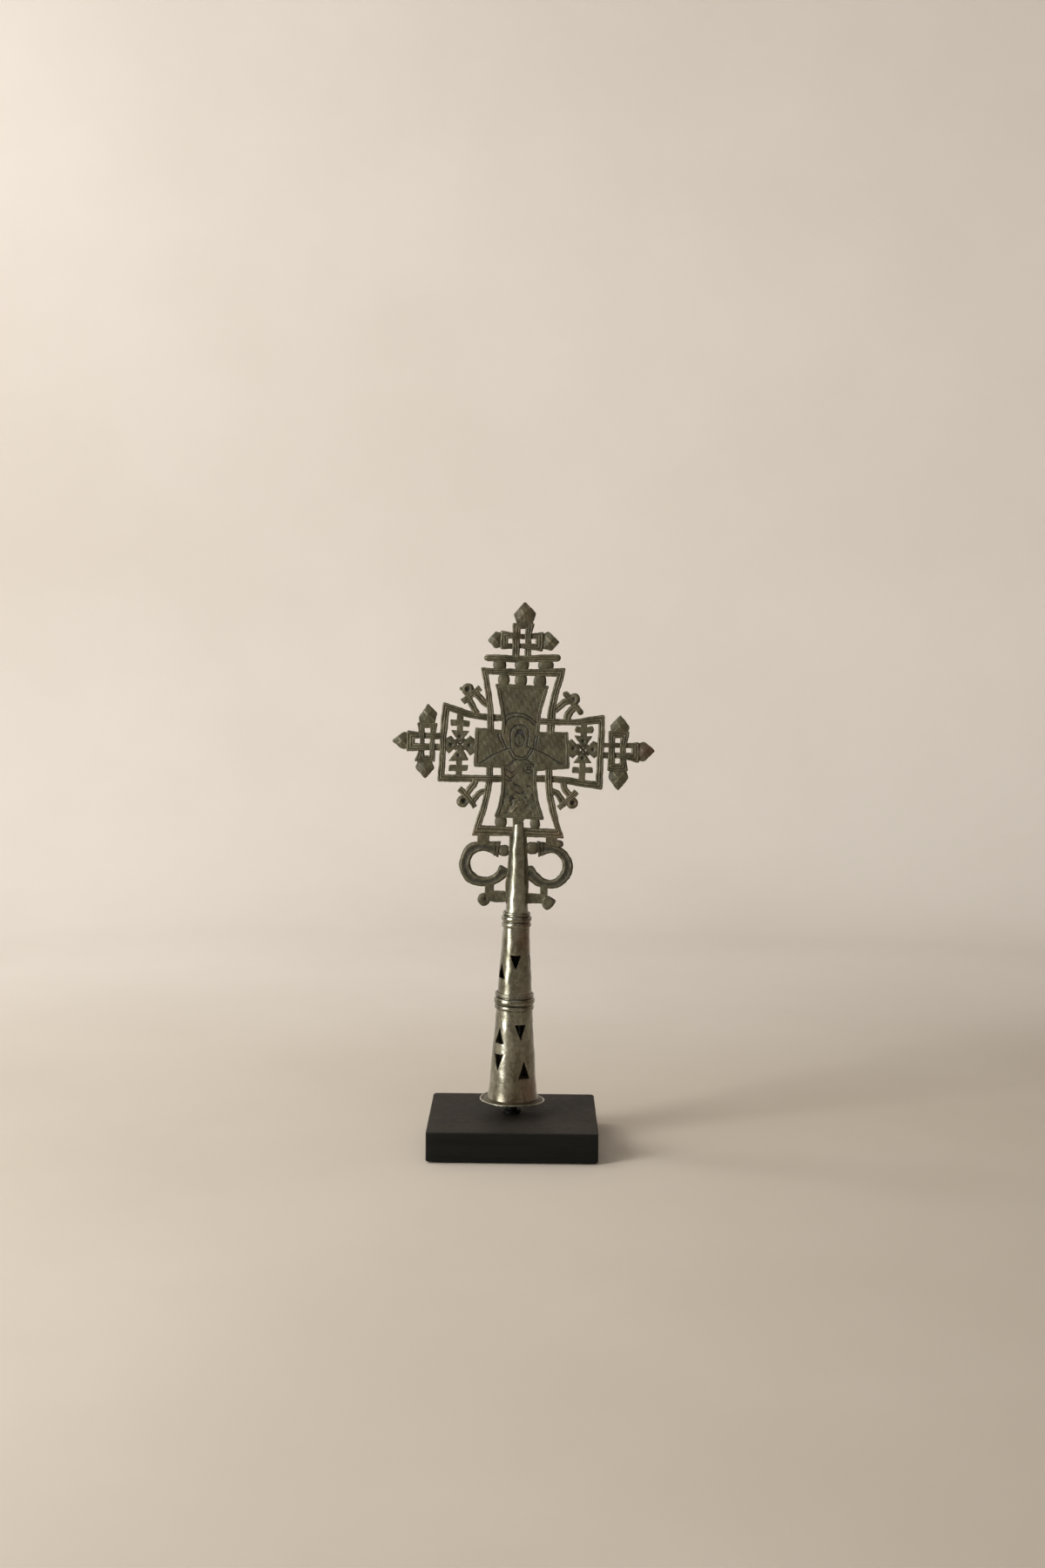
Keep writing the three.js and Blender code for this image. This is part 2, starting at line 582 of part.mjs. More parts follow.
// Loop: an open ring between two ovals, from its blunt head round to the tail on the stem
function openLoop(side) {
  const spec = LOOPS[side];
  const outward = side === 'left' ? 1 : -1;
  const onOval = ({ centre, radii }, degrees) => {
    const turn = THREE.MathUtils.degToRad(degrees);
    return [centre[0] + outward * radii[0] * Math.cos(turn), centre[1] + radii[1] * Math.sin(turn)];
  };
  const stations = [{ left: spec.head.outer, right: spec.head.inner }];
  for (let step = 0; step <= LOOP_ARC.steps; step += 1) {
    const degrees = LOOP_ARC.from + ((LOOP_ARC.to - LOOP_ARC.from) * step) / LOOP_ARC.steps;
    stations.push({ left: onOval(spec.outer, degrees), right: onOval(spec.inner, degrees) });
  }
  stations.push({ left: spec.tail.outer, right: spec.tail.inner });
  const stemEdge = -outward * (stemHalfWidth(spec.tail.inner[1]) - BEAD_SINK);
  const [rootFoot, rootTop] = [spec.tail.outer[1] + BEAD_SINK, spec.tail.inner[1] - LOOP_DEPTH];
  stations.push({ left: [stemEdge, rootFoot], right: [stemEdge, rootTop] });
  return strip(stations, { ridges: 2, depth: LOOP_DEPTH });
}

function stemHalfWidth(z) {
  const share = -z / STEM_DROP;
  return (STEM_TOP_WIDTH + share * (STEM_FOOT_WIDTH - STEM_TOP_WIDTH)) / 2;
}

// What hangs with a loop: its hanger from the bracket, the bead to the stem, and the foot below it
function loopFittings(side) {
  const { head, hanger, bead: stud, drop, knob, outer } = LOOPS[side];
  const [railTop, railFoot, knobHeight] = [...LOOPS[side].rail, knob[1]].map((height) => height - STEM_DROP);
  const outward = side === 'left' ? -1 : 1;
  const bracketFoot = endHeight('down', hanger, false) + BEAD_SINK * 2;
  const stem = outward * stemHalfWidth(stud.z);
  const loopTop = head.outer[1] - BEAD_SINK * 2;
  const studWidth = Math.abs(head.outer[0] - stem) + 2 * BEAD_SINK;
  const loopFoot = outer.centre[1] - outer.radii[1] + BEAD_SINK * 2;
  const railEnd = outward * (stemHalfWidth(railTop) - BEAD_SINK);
  const [railLeft, railRight] = [Math.min(drop.x, railEnd), Math.max(drop.x, railEnd)];
  return [
    box([hanger - HANGER_WIDTH / 2, loopTop], [hanger + HANGER_WIDTH / 2, bracketFoot], SALTIRE_DEPTH),
    bead((head.outer[0] + stem) / 2, stud.z, studWidth, stud.height),
    box([drop.x - drop.width / 2, railFoot], [drop.x + drop.width / 2, loopFoot], SALTIRE_DEPTH),
    box([railLeft, railFoot], [railRight, railTop], SALTIRE_DEPTH),
    bead(knob[0], knobHeight, KNOB_DIAMETER, KNOB_DIAMETER, BOSS_DEPTH),
  ];
}

// Stem: a neck from inside the panel's foot to the end strip, a flat bar from there to the shoulder, and the
// tang below it
function stem() {
  const [left, right] = STEM_NECK;
  const top = panelEnd('down', 0) + PANEL_BORDER;
  const waist = (endHeight('down', 0, true) + endHeight('down', 0, false)) / 2;
  const outline = [
    [left, top], [left, waist], [-stemHalfWidth(waist), waist],
    [-stemHalfWidth(-STEM_DROP), -STEM_DROP], [-TANG_WIDTH / 2, -STEM_DROP],
    [-TANG_WIDTH / 2, -STEM_DROP - TANG_LENGTH], [TANG_WIDTH / 2, -STEM_DROP - TANG_LENGTH],
    [TANG_WIDTH / 2, -STEM_DROP], [stemHalfWidth(-STEM_DROP), -STEM_DROP],
    [stemHalfWidth(waist), waist], [right, waist], [right, top],
  ];
  return plate(outline, STEM_DEPTH);
}

function castHead() {
  const pieces = [...panel(), stem(), ...barAndBeads()];
  for (const arm of Object.keys(BRACKETS)) pieces.push(bracket(arm));
  for (const arm of Object.keys(TREFOILS)) pieces.push(...trefoil(arm));
  for (const side of Object.keys(SALTIRES)) pieces.push(...saltire(side));
  for (const name of Object.keys(KNOTS)) pieces.push(...knot(name));
  for (const side of Object.keys(LOOPS)) pieces.push(openLoop(side), ...loopFittings(side));
  return joined(pieces);
}

// Heights of the shaft's pieces above the block, along the rod
const lowerTubeFoot = MOUTH_HEIGHT + FLANGE_THICKNESS + FLANGE_DISH + SEAT_GAP;
const lowerJoint = lowerTubeFoot + LOWER_TUBE.length;
const middleTubeFoot = lowerJoint + SEAT_GAP;
const upperJoint = middleTubeFoot + MIDDLE_TUBE.length;
const upperTubeFoot = upperJoint + SEAT_GAP;
const headCentre = upperTubeFoot + SLIT_FOOT + SEAT_GAP + STEM_DROP;
const tangFoot = headCentre - STEM_DROP - TANG_LENGTH;
const capTop = tangFoot - SEAT_GAP;
const spigotTop = capTop - CAP_CROWN - SEAT_GAP;
const rodTop = spigotTop - SPIGOT_LENGTH;

// A sheet tube from its outer edge points, foot first
function tube(outer) {
  const inner = outer.map(([radius, height]) => [radius - TUBE_WALL, height]).reverse();
  return turned([...outer, ...inner]);
}

// Triangles punched through a tube: alternate ones stand on their base and on their point
function punched(solid, foot, reach, { height, turn, point, stagger }) {
  const cutters = [];
  for (let i = 0; i < TRIANGLES_ROUND; i += 1) {
    const up = i % 2 === 0 ? point : -point;
    const [half, rise] = [TRIANGLE_WIDTH / 2, (up * TRIANGLE_HEIGHT) / 2];
    const shape = new THREE.Shape([new THREE.Vector2(-half, -rise), new THREE.Vector2(half, -rise),
      new THREE.Vector2(0, rise)]);
    const prism = new THREE.ExtrudeGeometry(shape, { depth: reach, bevelEnabled: false });
    prism.rotateX(Math.PI / 2).rotateZ(THREE.MathUtils.degToRad(turn - (i * 360) / TRIANGLES_ROUND));
    cutters.push(toSolid(prism.translate(0, 0, foot + height - (up * stagger) / 2)));
  }
  return cutFrom(solid, cutters);
}

// Upper tube: slit from its slanted top nearly to its foot, so that it slides over the flat stem
function slitTube() {
  const { length, foot, swell, swellHeight, top } = UPPER_TUBE;
  const highest = upperTubeFoot + length;
  const whole = tube([[foot, upperTubeFoot], [swell, upperTubeFoot + swellHeight], [top, highest]]);
  const slitTop = highest + foot;
  const slitDepth = STRIP_DEPTH + 2 * SLIT_CLEARANCE;
  const slit = box([-2 * foot, upperTubeFoot + SLIT_FOOT], [2 * foot, slitTop], slitDepth);
  const rim = (x) => [x, highest + TUBE_SLANT * (x - top)];
  const slanted = plate([rim(-foot), rim(foot), [foot, slitTop], [-foot, slitTop]], 3 * foot);
  return cutFrom(whole, [slit, slanted]);
}

// Outer radius of the shaft at a height, taken as a straight taper within each tube
function shaftRadius(height) {
  const taper = (tubeFoot, { length, foot, top }) => foot + ((height - tubeFoot) / length) * (top - foot);
  if (height <= lowerJoint) return taper(lowerTubeFoot, LOWER_TUBE);
  if (height <= upperJoint + SEAT_GAP / 2) return taper(middleTubeFoot, MIDDLE_TUBE);
  const { foot, swell, swellHeight } = UPPER_TUBE;
  return taper(upperTubeFoot, { length: swellHeight, foot, top: swell });
}

// Collar: half-round wires stacked from below the joint, each bored to clear the widest tube inside it
function collar(joint, { below, wires }) {
  let bottom = joint - below;
  for (const { name, height, proud } of wires) {
    const samples = [bottom, bottom + height, joint - SEAT_GAP, joint + 2 * SEAT_GAP]
      .filter((level) => level >= bottom && level <= bottom + height);
    const bore = Math.max(...samples.map(shaftRadius)) + SEAT_GAP;
    const crown = [[0, 0], [0.8, 0.15], [1, 0.5], [0.8, 0.85], [0, 1]];
    const outline = crown.map(([out, up]) => [bore + proud * out, bottom + height * up]);
    addMesh(cross, name, turned(outline, WIRE_SEGMENTS), nickel());
    bottom += height + COLLAR_GAP;
  }
}

// Mouth: a dished flange under the lower tube, its rim wire, and the wooden plug that rides on the rod
function mouth() {
  const plugFoot = lowerTubeFoot + PLUG_RECESS;
  const bore = Math.max(ROD_DIAMETER, CAP_DIAMETER) / 2 + RUNNING_CLEARANCE;
  const inside = (height) => shaftRadius(height) - TUBE_WALL - SEAT_GAP;
  const plug = turned([[bore, plugFoot], [inside(plugFoot), plugFoot],
    [inside(plugFoot + PLUG_HEIGHT), plugFoot + PLUG_HEIGHT], [bore, plugFoot + PLUG_HEIGHT]]);
  addMesh(cross, 'socket_plug', plug, finish(0x5a4630, 0, 0.8));
  const [hole, edge] = [LOWER_TUBE.foot - TUBE_WALL, FLANGE_DIAMETER / 2];
  addMesh(cross, 'mouth_flange', turned([[hole, MOUTH_HEIGHT + FLANGE_DISH], [edge, MOUTH_HEIGHT],
    [edge, MOUTH_HEIGHT + FLANGE_THICKNESS], [LOWER_TUBE.foot, MOUTH_HEIGHT + FLANGE_THICKNESS + FLANGE_DISH],
    [hole, MOUTH_HEIGHT + FLANGE_THICKNESS + FLANGE_DISH]]), nickel());
  const wireRadius = RIM_WIRE_DIAMETER / 2;
  const wire = new THREE.TorusGeometry(edge + SEAT_GAP + wireRadius, wireRadius, 5, TUBE_SEGMENTS);
  wire.translate(0, 0, MOUTH_HEIGHT + FLANGE_THICKNESS / 2);
  addMesh(cross, 'flange_rim_wire', toSolid(wire), nickel());
}

// Stand: felt, block with its stepped hole along the rod, rod with shoulder, washer, nut and cap
function stand() {
  const bore = ROD_DIAMETER / 2 + SEAT_GAP;
  const counterbore = COUNTERBORE_DIAMETER / 2;
  const below = -BLOCK_HEIGHT - 2 * FELT_THICKNESS - 1;
  const roof = -BLOCK_HEIGHT + COUNTERBORE_DEPTH;
  const alongRod = (solid) => toSolid(toGeometry(solid).rotateY(ROD_LEAN)
    .translate(ROD_FOOT_X, 0, FELT_THICKNESS + BLOCK_HEIGHT));
  const rodHole = alongRod(disc(bore, below, 1, ROD_SEGMENTS));
  const nutPocket = alongRod(disc(counterbore, below, roof, 2 * ROD_SEGMENTS));
  const block = roundedSlab(BLOCK_WIDTH, BLOCK_DEPTH, BLOCK_HEIGHT, FELT_THICKNESS, BLOCK_EDGE);
  addMesh(root, 'base_block', cutFrom(block, [rodHole, nutPocket]), blackWood());
  const felt = roundedSlab(BLOCK_WIDTH - 2 * FELT_INSET, BLOCK_DEPTH - 2 * FELT_INSET, FELT_THICKNESS, 0, 0);
  addMesh(root, 'base_felt', felt, finish(0x1c2a22, 0, 1));
  const washerTop = roof - SEAT_GAP;
  const nutTop = washerTop - WASHER_THICKNESS - SEAT_GAP;
  const nutFoot = nutTop - NUT_HEIGHT;
  const plain = washer(bore, WASHER_DIAMETER / 2, washerTop - WASHER_THICKNESS, washerTop, ROD_SEGMENTS);
  addMesh(cross, 'rod_washer', plain, steel());
  const hexagon = disc(NUT_ACROSS_FLATS / Math.sqrt(3), nutFoot, nutTop, 6);
  addMesh(cross, 'rod_nut', cutFrom(hexagon, [disc(bore, nutFoot - 1, nutTop + 1, ROD_SEGMENTS)]), steel());
  const [radius, shoulder, spigot] = [ROD_DIAMETER / 2, SHOULDER_DIAMETER / 2, SPIGOT_DIAMETER / 2];
  addMesh(cross, 'mounting_rod', turned([[0, nutFoot - ROD_THREAD_END], [radius, nutFoot - ROD_THREAD_END],
    [radius, SEAT_GAP], [shoulder, SEAT_GAP], [shoulder, SEAT_GAP + SHOULDER_HEIGHT],
    [radius, SEAT_GAP + SHOULDER_HEIGHT], [radius, rodTop], [spigot, rodTop], [spigot, spigotTop],
    [0, spigotTop]], ROD_SEGMENTS), steel());
  const socket = spigot + RUNNING_CLEARANCE;
  addMesh(cross, 'rod_cap', turned([[0, spigotTop + SEAT_GAP], [socket, spigotTop + SEAT_GAP],
    [socket, rodTop + SEAT_GAP], [CAP_DIAMETER / 2, rodTop + SEAT_GAP], [CAP_DIAMETER / 2, capTop],
    [0, capTop]], ROD_SEGMENTS), finish(0x3a2c1e, 0, 0.9));
}

function roundedSlab(width, depth, height, bottom, edge) {
  const [x, y, r] = [width / 2 - edge, depth / 2 - edge, BLOCK_CORNER];
  const shape = new THREE.Shape();
  shape.moveTo(-x + r, -y).lineTo(x - r, -y).absarc(x - r, -y + r, r, -Math.PI / 2, 0);
  shape.lineTo(x, y - r).absarc(x - r, y - r, r, 0, Math.PI / 2);
  shape.lineTo(-x + r, y).absarc(-x + r, y - r, r, Math.PI / 2, Math.PI);
  shape.lineTo(-x, -y + r).absarc(-x + r, -y + r, r, Math.PI, Math.PI * 1.5);
  const bevel = { bevelEnabled: edge > 0, bevelThickness: edge, bevelSize: edge, bevelSegments: 1 };
  const slab = new THREE.ExtrudeGeometry(shape, { depth: height - 2 * edge, curveSegments: 2, ...bevel });
  return toSolid(slab.translate(0, 0, bottom + edge));
}

stand();
mouth();
const lowerTube = tube([[LOWER_TUBE.foot, lowerTubeFoot], [LOWER_TUBE.top, lowerJoint]]);
const punchedTwice = LOWER_ROWS.reduce(
  (solid, row) => punched(solid, lowerTubeFoot, 2 * LOWER_TUBE.foot, row), lowerTube);
addMesh(cross, 'lower_tube', punchedTwice, nickel());
collar(lowerJoint, LOWER_COLLAR);
const middleTube = tube([[MIDDLE_TUBE.foot, middleTubeFoot], [MIDDLE_TUBE.top, upperJoint]]);
const punchedOnce = punched(middleTube, middleTubeFoot, 2 * MIDDLE_TUBE.foot, MIDDLE_ROW);
addMesh(cross, 'middle_tube', punchedOnce, nickel());
collar(upperJoint, UPPER_COLLAR);
addMesh(cross, 'upper_tube', slitTube(), nickel());
addMesh(cross, 'cross_head', castHead().translate([0, 0, headCentre]), bronze());

export default root;
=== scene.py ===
"""Ethiopian cross on its stand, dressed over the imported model: cast bronze head, sheet-metal shaft, black
block.

Head pieces are drawn in head millimetres: x to the right, y up from the middle of the cross, depth to the
back. Shaft pieces are drawn round the rod's axis in millimetres above the block. Both lean with the rod.
"""

import math

import bpy
import numpy as np
from mathutils import Matrix


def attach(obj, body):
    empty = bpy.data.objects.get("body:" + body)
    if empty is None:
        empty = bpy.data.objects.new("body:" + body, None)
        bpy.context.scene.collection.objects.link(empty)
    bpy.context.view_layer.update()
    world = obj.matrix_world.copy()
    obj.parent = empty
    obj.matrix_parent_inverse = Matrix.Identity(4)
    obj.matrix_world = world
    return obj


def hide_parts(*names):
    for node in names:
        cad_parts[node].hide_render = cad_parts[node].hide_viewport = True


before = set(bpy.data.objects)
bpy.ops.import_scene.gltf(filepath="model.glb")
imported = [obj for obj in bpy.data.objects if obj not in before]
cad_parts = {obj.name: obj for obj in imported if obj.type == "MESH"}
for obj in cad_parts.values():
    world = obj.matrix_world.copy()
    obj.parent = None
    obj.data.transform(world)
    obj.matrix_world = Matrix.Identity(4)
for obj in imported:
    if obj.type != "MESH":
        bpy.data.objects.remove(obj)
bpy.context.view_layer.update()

# Frame of the shaft and the head
MM = 0.001
LEAN = math.radians(0.9)
ROD_FOOT_X = -0.9
BLOCK_TOP = 22.0
HEAD_HEIGHT = 263.5

# Depths of the casting, front to back
STRIP_DEPTH = 4.4
TREFOIL_DEPTH = 4.3
BORDER_DEPTH = 4.2
PANEL_DEPTH = 3.0
STEM_DEPTH = 4.0
WEAVE_LIFT = 0.75


def to_world(across, depth, height):
    """Shaft millimetres to metres: (across, height) turned by the lean and moved to the rod's foot."""
    x = ROD_FOOT_X + across * math.cos(LEAN) + height * math.sin(LEAN)
    z = BLOCK_TOP - across * math.sin(LEAN) + height * math.cos(LEAN)
    return np.stack(np.broadcast_arrays(x, depth, z), axis=-1) * MM


# Shells: a closed surface is a dictionary of points, quads, tris and a wear-and-shade value for each point
# A high value paints rubbed, brighter metal; a low one paints dark patina and painted shade in hollows, cuts
# and joins
PLAIN_WEAR = 0.5


def shell(points, quads, tris=None, wear_and_shade=PLAIN_WEAR):
    """A closed surface; the wear-and-shade value is one for all points or one for each."""
    points = np.asarray(points, float).reshape(-1, 3)
    tris = np.zeros((0, 3), int) if tris is None else tris
    wear_and_shade = np.full(len(points), wear_and_shade) if np.ndim(wear_and_shade) == 0 else np.ravel(wear_and_shade)
    return {"points": points, "quads": quads, "tris": tris, "wear_and_shade": wear_and_shade}


def lattice(rows, columns, wrap_rows=False, wrap_columns=False):
    """Corner numbers of the cells between neighbouring rows and columns of a grid numbered row by row."""
    i = np.arange(rows if wrap_rows else rows - 1)[:, None]
    j = np.arange(columns if wrap_columns else columns - 1)[None, :]
    near, far = i * columns, ((i + 1) % rows) * columns
    here, there = j, (j + 1) % columns
    corners = np.broadcast_arrays(near + here, near + there, far + there, far + here)
    return np.stack(corners, -1).reshape(-1, 4)


def fan(pole, ring):
    """Triangles that join a pole to every two neighbours on a closed ring of point numbers."""
    return np.stack([np.full(len(ring), pole), ring, np.roll(ring, -1)], 1)


def capped(grid, poles, wear_and_shade=PLAIN_WEAR):
    """Shell of a grid of points whose columns go round, closed by a fan to a pole before its first row and
    one to a pole after its last."""
    rows, columns = grid.shape[:2]
    count = rows * columns
    ring = np.arange(columns)
    tris = np.concatenate([fan(count, ring[::-1]), fan(count + 1, count - columns + ring)])
    points = np.concatenate([grid.reshape(-1, 3), poles])
    return shell(points, lattice(rows, columns, wrap_columns=True), tris, wear_and_shade)


def outward(piece):
    """Turns all faces round where the signed volume, the sum of a . (b x c) / 6 over the triangles, is
    negative."""
    quads, tris, points = piece["quads"], piece["tris"], piece["points"]
    every = np.concatenate([tris, quads[:, [0, 1, 2]], quads[:, [0, 2, 3]]])
    a, b, c = (points[every[:, k]] for k in range(3))
    if np.einsum("ij,ij->i", a, np.cross(b, c)).sum() < 0:
        piece["quads"], piece["tris"] = quads[:, ::-1], tris[:, ::-1]
    return piece


def merged(shells):
    """One shell of several: the corner numbers of each are raised by the points that come before it."""
    offset = np.cumsum([0] + [len(s["points"]) for s in shells[:-1]])
    shells = [outward(s) for s in shells]
    return {
        "points": np.concatenate([s["points"] for s in shells]),
        "quads": np.concatenate([s["quads"] + o for s, o in zip(shells, offset)]),
        "tris": np.concatenate([s["tris"] + o for s, o in zip(shells, offset)]),
        "wear_and_shade": np.concatenate([s["wear_and_shade"] for s in shells]),
    }


def add_piece(name, whole, material, body, nodes, crease=38, spots=()):
    """Makes a mesh of a shell in world metres, smooth but for edges sharper than the crease angle.

    The wear-and-shade value and the warmth, the largest exp(-(distance / size)^2) over the spots, become
    attributes.
    """
    whole = outward(whole)
    mesh = bpy.data.meshes.new(name)
    faces = whole["quads"].tolist() + whole["tris"].tolist()
    mesh.from_pydata(whole["points"].tolist(), [], faces)
    mesh.update()
    warmth = np.zeros(len(whole["points"]))
    for place, size, strength in spots:
        away = np.linalg.norm(whole["points"] - place, axis=1) / size
        warmth = np.maximum(warmth, strength * np.exp(-away ** 2))
    for label, values in (("wear_and_shade", whole["wear_and_shade"]), ("warmth", warmth)):
        attribute = mesh.attributes.new(label, "FLOAT", "POINT")
        attribute.data.foreach_set("value", values.astype(np.float32))
    mesh.shade_smooth()
    mesh.set_sharp_from_angle(angle=math.radians(crease))
    mesh.materials.append(material)
    piece = bpy.data.objects.new(name, mesh)
    bpy.context.scene.collection.objects.link(piece)
    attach(piece, body)
    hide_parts(*nodes)
    return piece


# Hand work in the wax: slow waves of a few tenths of a millimetre, as (x and y rates, phase, x, y and depth
# shares)
WAVES = [
    ((0.41, 0.17), 0.6, 0.10, -0.06, 0.10),
    ((-0.23, 0.52), 2.1, 0.07, 0.10, -0.08),
    ((0.95, -0.71), 4.0, 0.06, 0.05, 0.06),
    ((-1.3, -1.1), 1.3, -0.05, 0.05, 0.05),
    ((2.1, 0.6), 5.2, 0.03, 0.035, 0.03),
    ((-0.7, 2.6), 3.4, 0.035, -0.03, 0.03),
]


def hand_made(points):
    """Adds to each point the sum over the waves of share * sin(rates . (x, y) + phase)."""
    moved = points.copy()
    for (rate_x, rate_y), phase, share_x, share_y, share_depth in WAVES:
        wave = np.sin(points[:, 0] * rate_x + points[:, 2] * rate_y + phase)
        moved += wave[:, None] * np.array([share_x, share_depth, share_y])
    return moved


# Places of redder bronze on the head, as (x, y, radius, strength)
WARM_SPOTS = [
    (91, 0, 7, 1.0), (40, -38, 7, 0.55), (-58, 27, 6, 0.45), (-3, 77, 5, 0.5), (-4, 82, 4, 0.45),
    (-33, -62, 8, 0.4), (30, -60, 8, 0.5), (26, -50, 7, 0.35), (-7, -19, 5, 0.4), (-12, 8, 4, 0.35),
    (14, 22, 4, 0.5), (12, -76, 5, 0.45), (1, 96, 8, 0.4), (-66, -20, 5, 0.25), (62, 3, 4, 0.3),
    (-25, 37, 6, 0.35),
]


def add_cast(name, shells, crease=38):
    """A bronze head piece: hand-made, raised to the head's height, in world metres, riding on the cross."""
    whole = merged(shells)
    points = hand_made(whole["points"])
    whole["points"] = to_world(points[:, 0], points[:, 1], points[:, 2] + HEAD_HEIGHT)
    spots = [(to_world(x, 0.0, y + HEAD_HEIGHT), r * MM, s) for x, y, r, s in WARM_SPOTS]
    piece = add_piece(name, whole, bronze, "cross", ["cross_head"], crease, spots)


# Curves

def through(rows, count):
    """Smooth curve through rows of numbers: between two rows a cubic Hermite piece whose end slopes are the
    mean slopes of the neighbours. It is sampled at even steps of the chord length, which is that of the first
    two numbers or of the mean of the first two and the next two."""
    rows = np.asarray(rows, float)
    middle = rows[:, :2] if rows.shape[1] < 4 else (rows[:, :2] + rows[:, 2:4]) / 2
    knots = np.r_[0, np.cumsum(np.linalg.norm(np.diff(middle, axis=0), axis=1))]
    slope = np.gradient(rows, knots, axis=0)
    t = np.linspace(0, knots[-1], count)
    i = np.clip(np.searchsorted(knots, t, side="right") - 1, 0, len(rows) - 2)
    h = (knots[i + 1] - knots[i])[:, None]
    s = (t - knots[i])[:, None] / h
    start, end = (2 * s ** 3 - 3 * s ** 2 + 1) * rows[i], (3 * s ** 2 - 2 * s ** 3) * rows[i + 1]
    leave, arrive = (s ** 3 - 2 * s ** 2 + s) * h * slope[i], (s ** 3 - s ** 2) * h * slope[i + 1]
    return start + leave + end + arrive


LIFT_PASSES = 3


def stations_of(runs, spacing=0.6, closed=False, rounding=(3, 1)):
    """Stations of a strip from runs of (outer x, outer y, inner x, inner y, lift), one run between two
    corners.

    Every run is a smooth curve. Where two runs meet, the outer and the inner edge are rounded by passing the
    mean of the two neighbours along the strip as many times as rounding says, and the lift by LIFT_PASSES.
    """
    passes_of = ((slice(0, 2), rounding[0]), (slice(2, 4), rounding[1]), (slice(4, 5), LIFT_PASSES))
    parts = []
    for run in runs:
        run = np.asarray(run, float)
        middle = (run[:, :2] + run[:, 2:4]) / 2
        length = np.linalg.norm(np.diff(middle, axis=0), axis=1).sum()
        curve = through(run, max(6, int(length / spacing)))
        parts.append(curve if not closed and len(parts) == len(runs) - 1 else curve[:-1])
    line = np.concatenate(parts)
    for columns, passes in passes_of:
        for _ in range(passes):
            mean = (np.roll(line, 1, 0) + np.roll(line, -1, 0)) / 2
            if not closed:
                mean[[0, -1]] = line[[0, -1]]
            line[:, columns] = (line[:, columns] + mean[:, columns]) / 2
    return line


# Sections of strips, as rows of (share across, share of the half depth, wear)
RIDGE_STEPS = np.array([-1, -0.93, -0.72, -0.38, 0, 0.38, 0.72, 0.93])
# Low values in the grooves and on the sides of the strips: dark patina and painted shade there
GROOVE_SHADE, SIDE_SHADE = 0.16, 0.32
BACK_HEIGHT = 0.93


def ridged(count, groove=0.66, crown=0.12, edge=0.45, polish=0.80):
    """Rounded ridges side by side in front and behind: with t from -1 to 1 across a ridge and c from -1 to 1
    across the strip the height is (groove + (1 - groove) sqrt(1 - t^2)) (1 - crown c^2), and edge at the two
    sides. Polish is the wear-and-shade value along the ridges; the grooves and sides get low ones, which
    paint dark patina and shade in them."""
    share = np.concatenate([(k + (RIDGE_STEPS + 1) / 2) / count for k in range(count)] + [[1.0]])
    t = np.concatenate([np.tile(RIDGE_STEPS, count), [1.0]])
    hump = np.sqrt(np.clip(1 - t ** 2, 0, 1))
    height = (groove + (1 - groove) * hump) * (1 - crown * (2 * share - 1) ** 2)
    height[[0, -1]] = edge
    wear_and_shade = GROOVE_SHADE + (polish - GROOVE_SHADE) * hump ** 1.5
    wear_and_shade[[0, -1]] = SIDE_SHADE
    front = np.stack([share, height, wear_and_shade], 1)
    back = np.stack([share, -BACK_HEIGHT * height, wear_and_shade], 1)[::-1]
    return np.concatenate([front, back])


# The loops' bar: shares across of its two ridges and half widths and heights of the ridges and the channel
LOOP_RIDGES = (0.20, 0.80)
RIDGE_HALF, RIDGE_RISE = 0.05, 0.10
CHANNEL_HALF, CHANNEL_DROP = 0.21, 0.28


def channelled(power=0.42, points=31):
    """Rounded bar with a broad shallow channel between two fine ridges: height (1 - c^2)^power times 1 less
    the drop exp(-((share - middle) / channel half width)^2), plus the rise
    exp(-((share - ridge) / ridge half width)^2) for each ridge."""
    c = -np.cos(np.linspace(0, math.pi, points))
    share = (c + 1) / 2
    dome = np.clip(1 - c ** 2, 0, 1) ** power
    line = sum(np.exp(-((share - ridge) / RIDGE_HALF) ** 2) for ridge in LOOP_RIDGES)
    channel = np.exp(-((share - np.mean(LOOP_RIDGES)) / CHANNEL_HALF) ** 2)
    height = dome * (1 - CHANNEL_DROP * channel) + RIDGE_RISE * line
    # Lower values in the channel paint dark patina and shade in it
    wear_and_shade = 0.34 + 0.56 * line - 0.18 * channel
    front = np.stack([share, height, wear_and_shade], 1)
    back = np.stack([share, -height, wear_and_shade], 1)[::-1][1:-1]
    return np.concatenate([front, back])


ROUND_TURNS = np.radians([30, 52, 70, 84])
END_WEAR = 0.4


def rounded_ends(stations):
    """Adds rings beyond both ends of a strip that move on by r sin(a) while the section shrinks to cos(a) of
    its width and depth. Returns the stations and their scales."""
    shrink = np.cos(ROUND_TURNS)
    added = []
    for edge, next_in in ((stations[0], stations[1]), (stations[-1], stations[-2])):
        middle = (edge[:2] + edge[2:4]) / 2
        along = middle - (next_in[:2] + next_in[2:4]) / 2
        along = along / np.linalg.norm(along)
        radius = np.linalg.norm(edge[2:4] - edge[:2]) / 2
        rings = np.repeat(edge[None], len(ROUND_TURNS), 0)
        step = radius * np.sin(ROUND_TURNS)[:, None] * along
        half = (edge[:2] - middle) * shrink[:, None]
        rings[:, :2], rings[:, 2:4] = middle + step + half, middle + step - half
        added.append(rings)
    scale = np.r_[shrink[::-1], np.ones(len(stations)), shrink]
    return np.concatenate([added[0][::-1], stations, added[1]]), scale


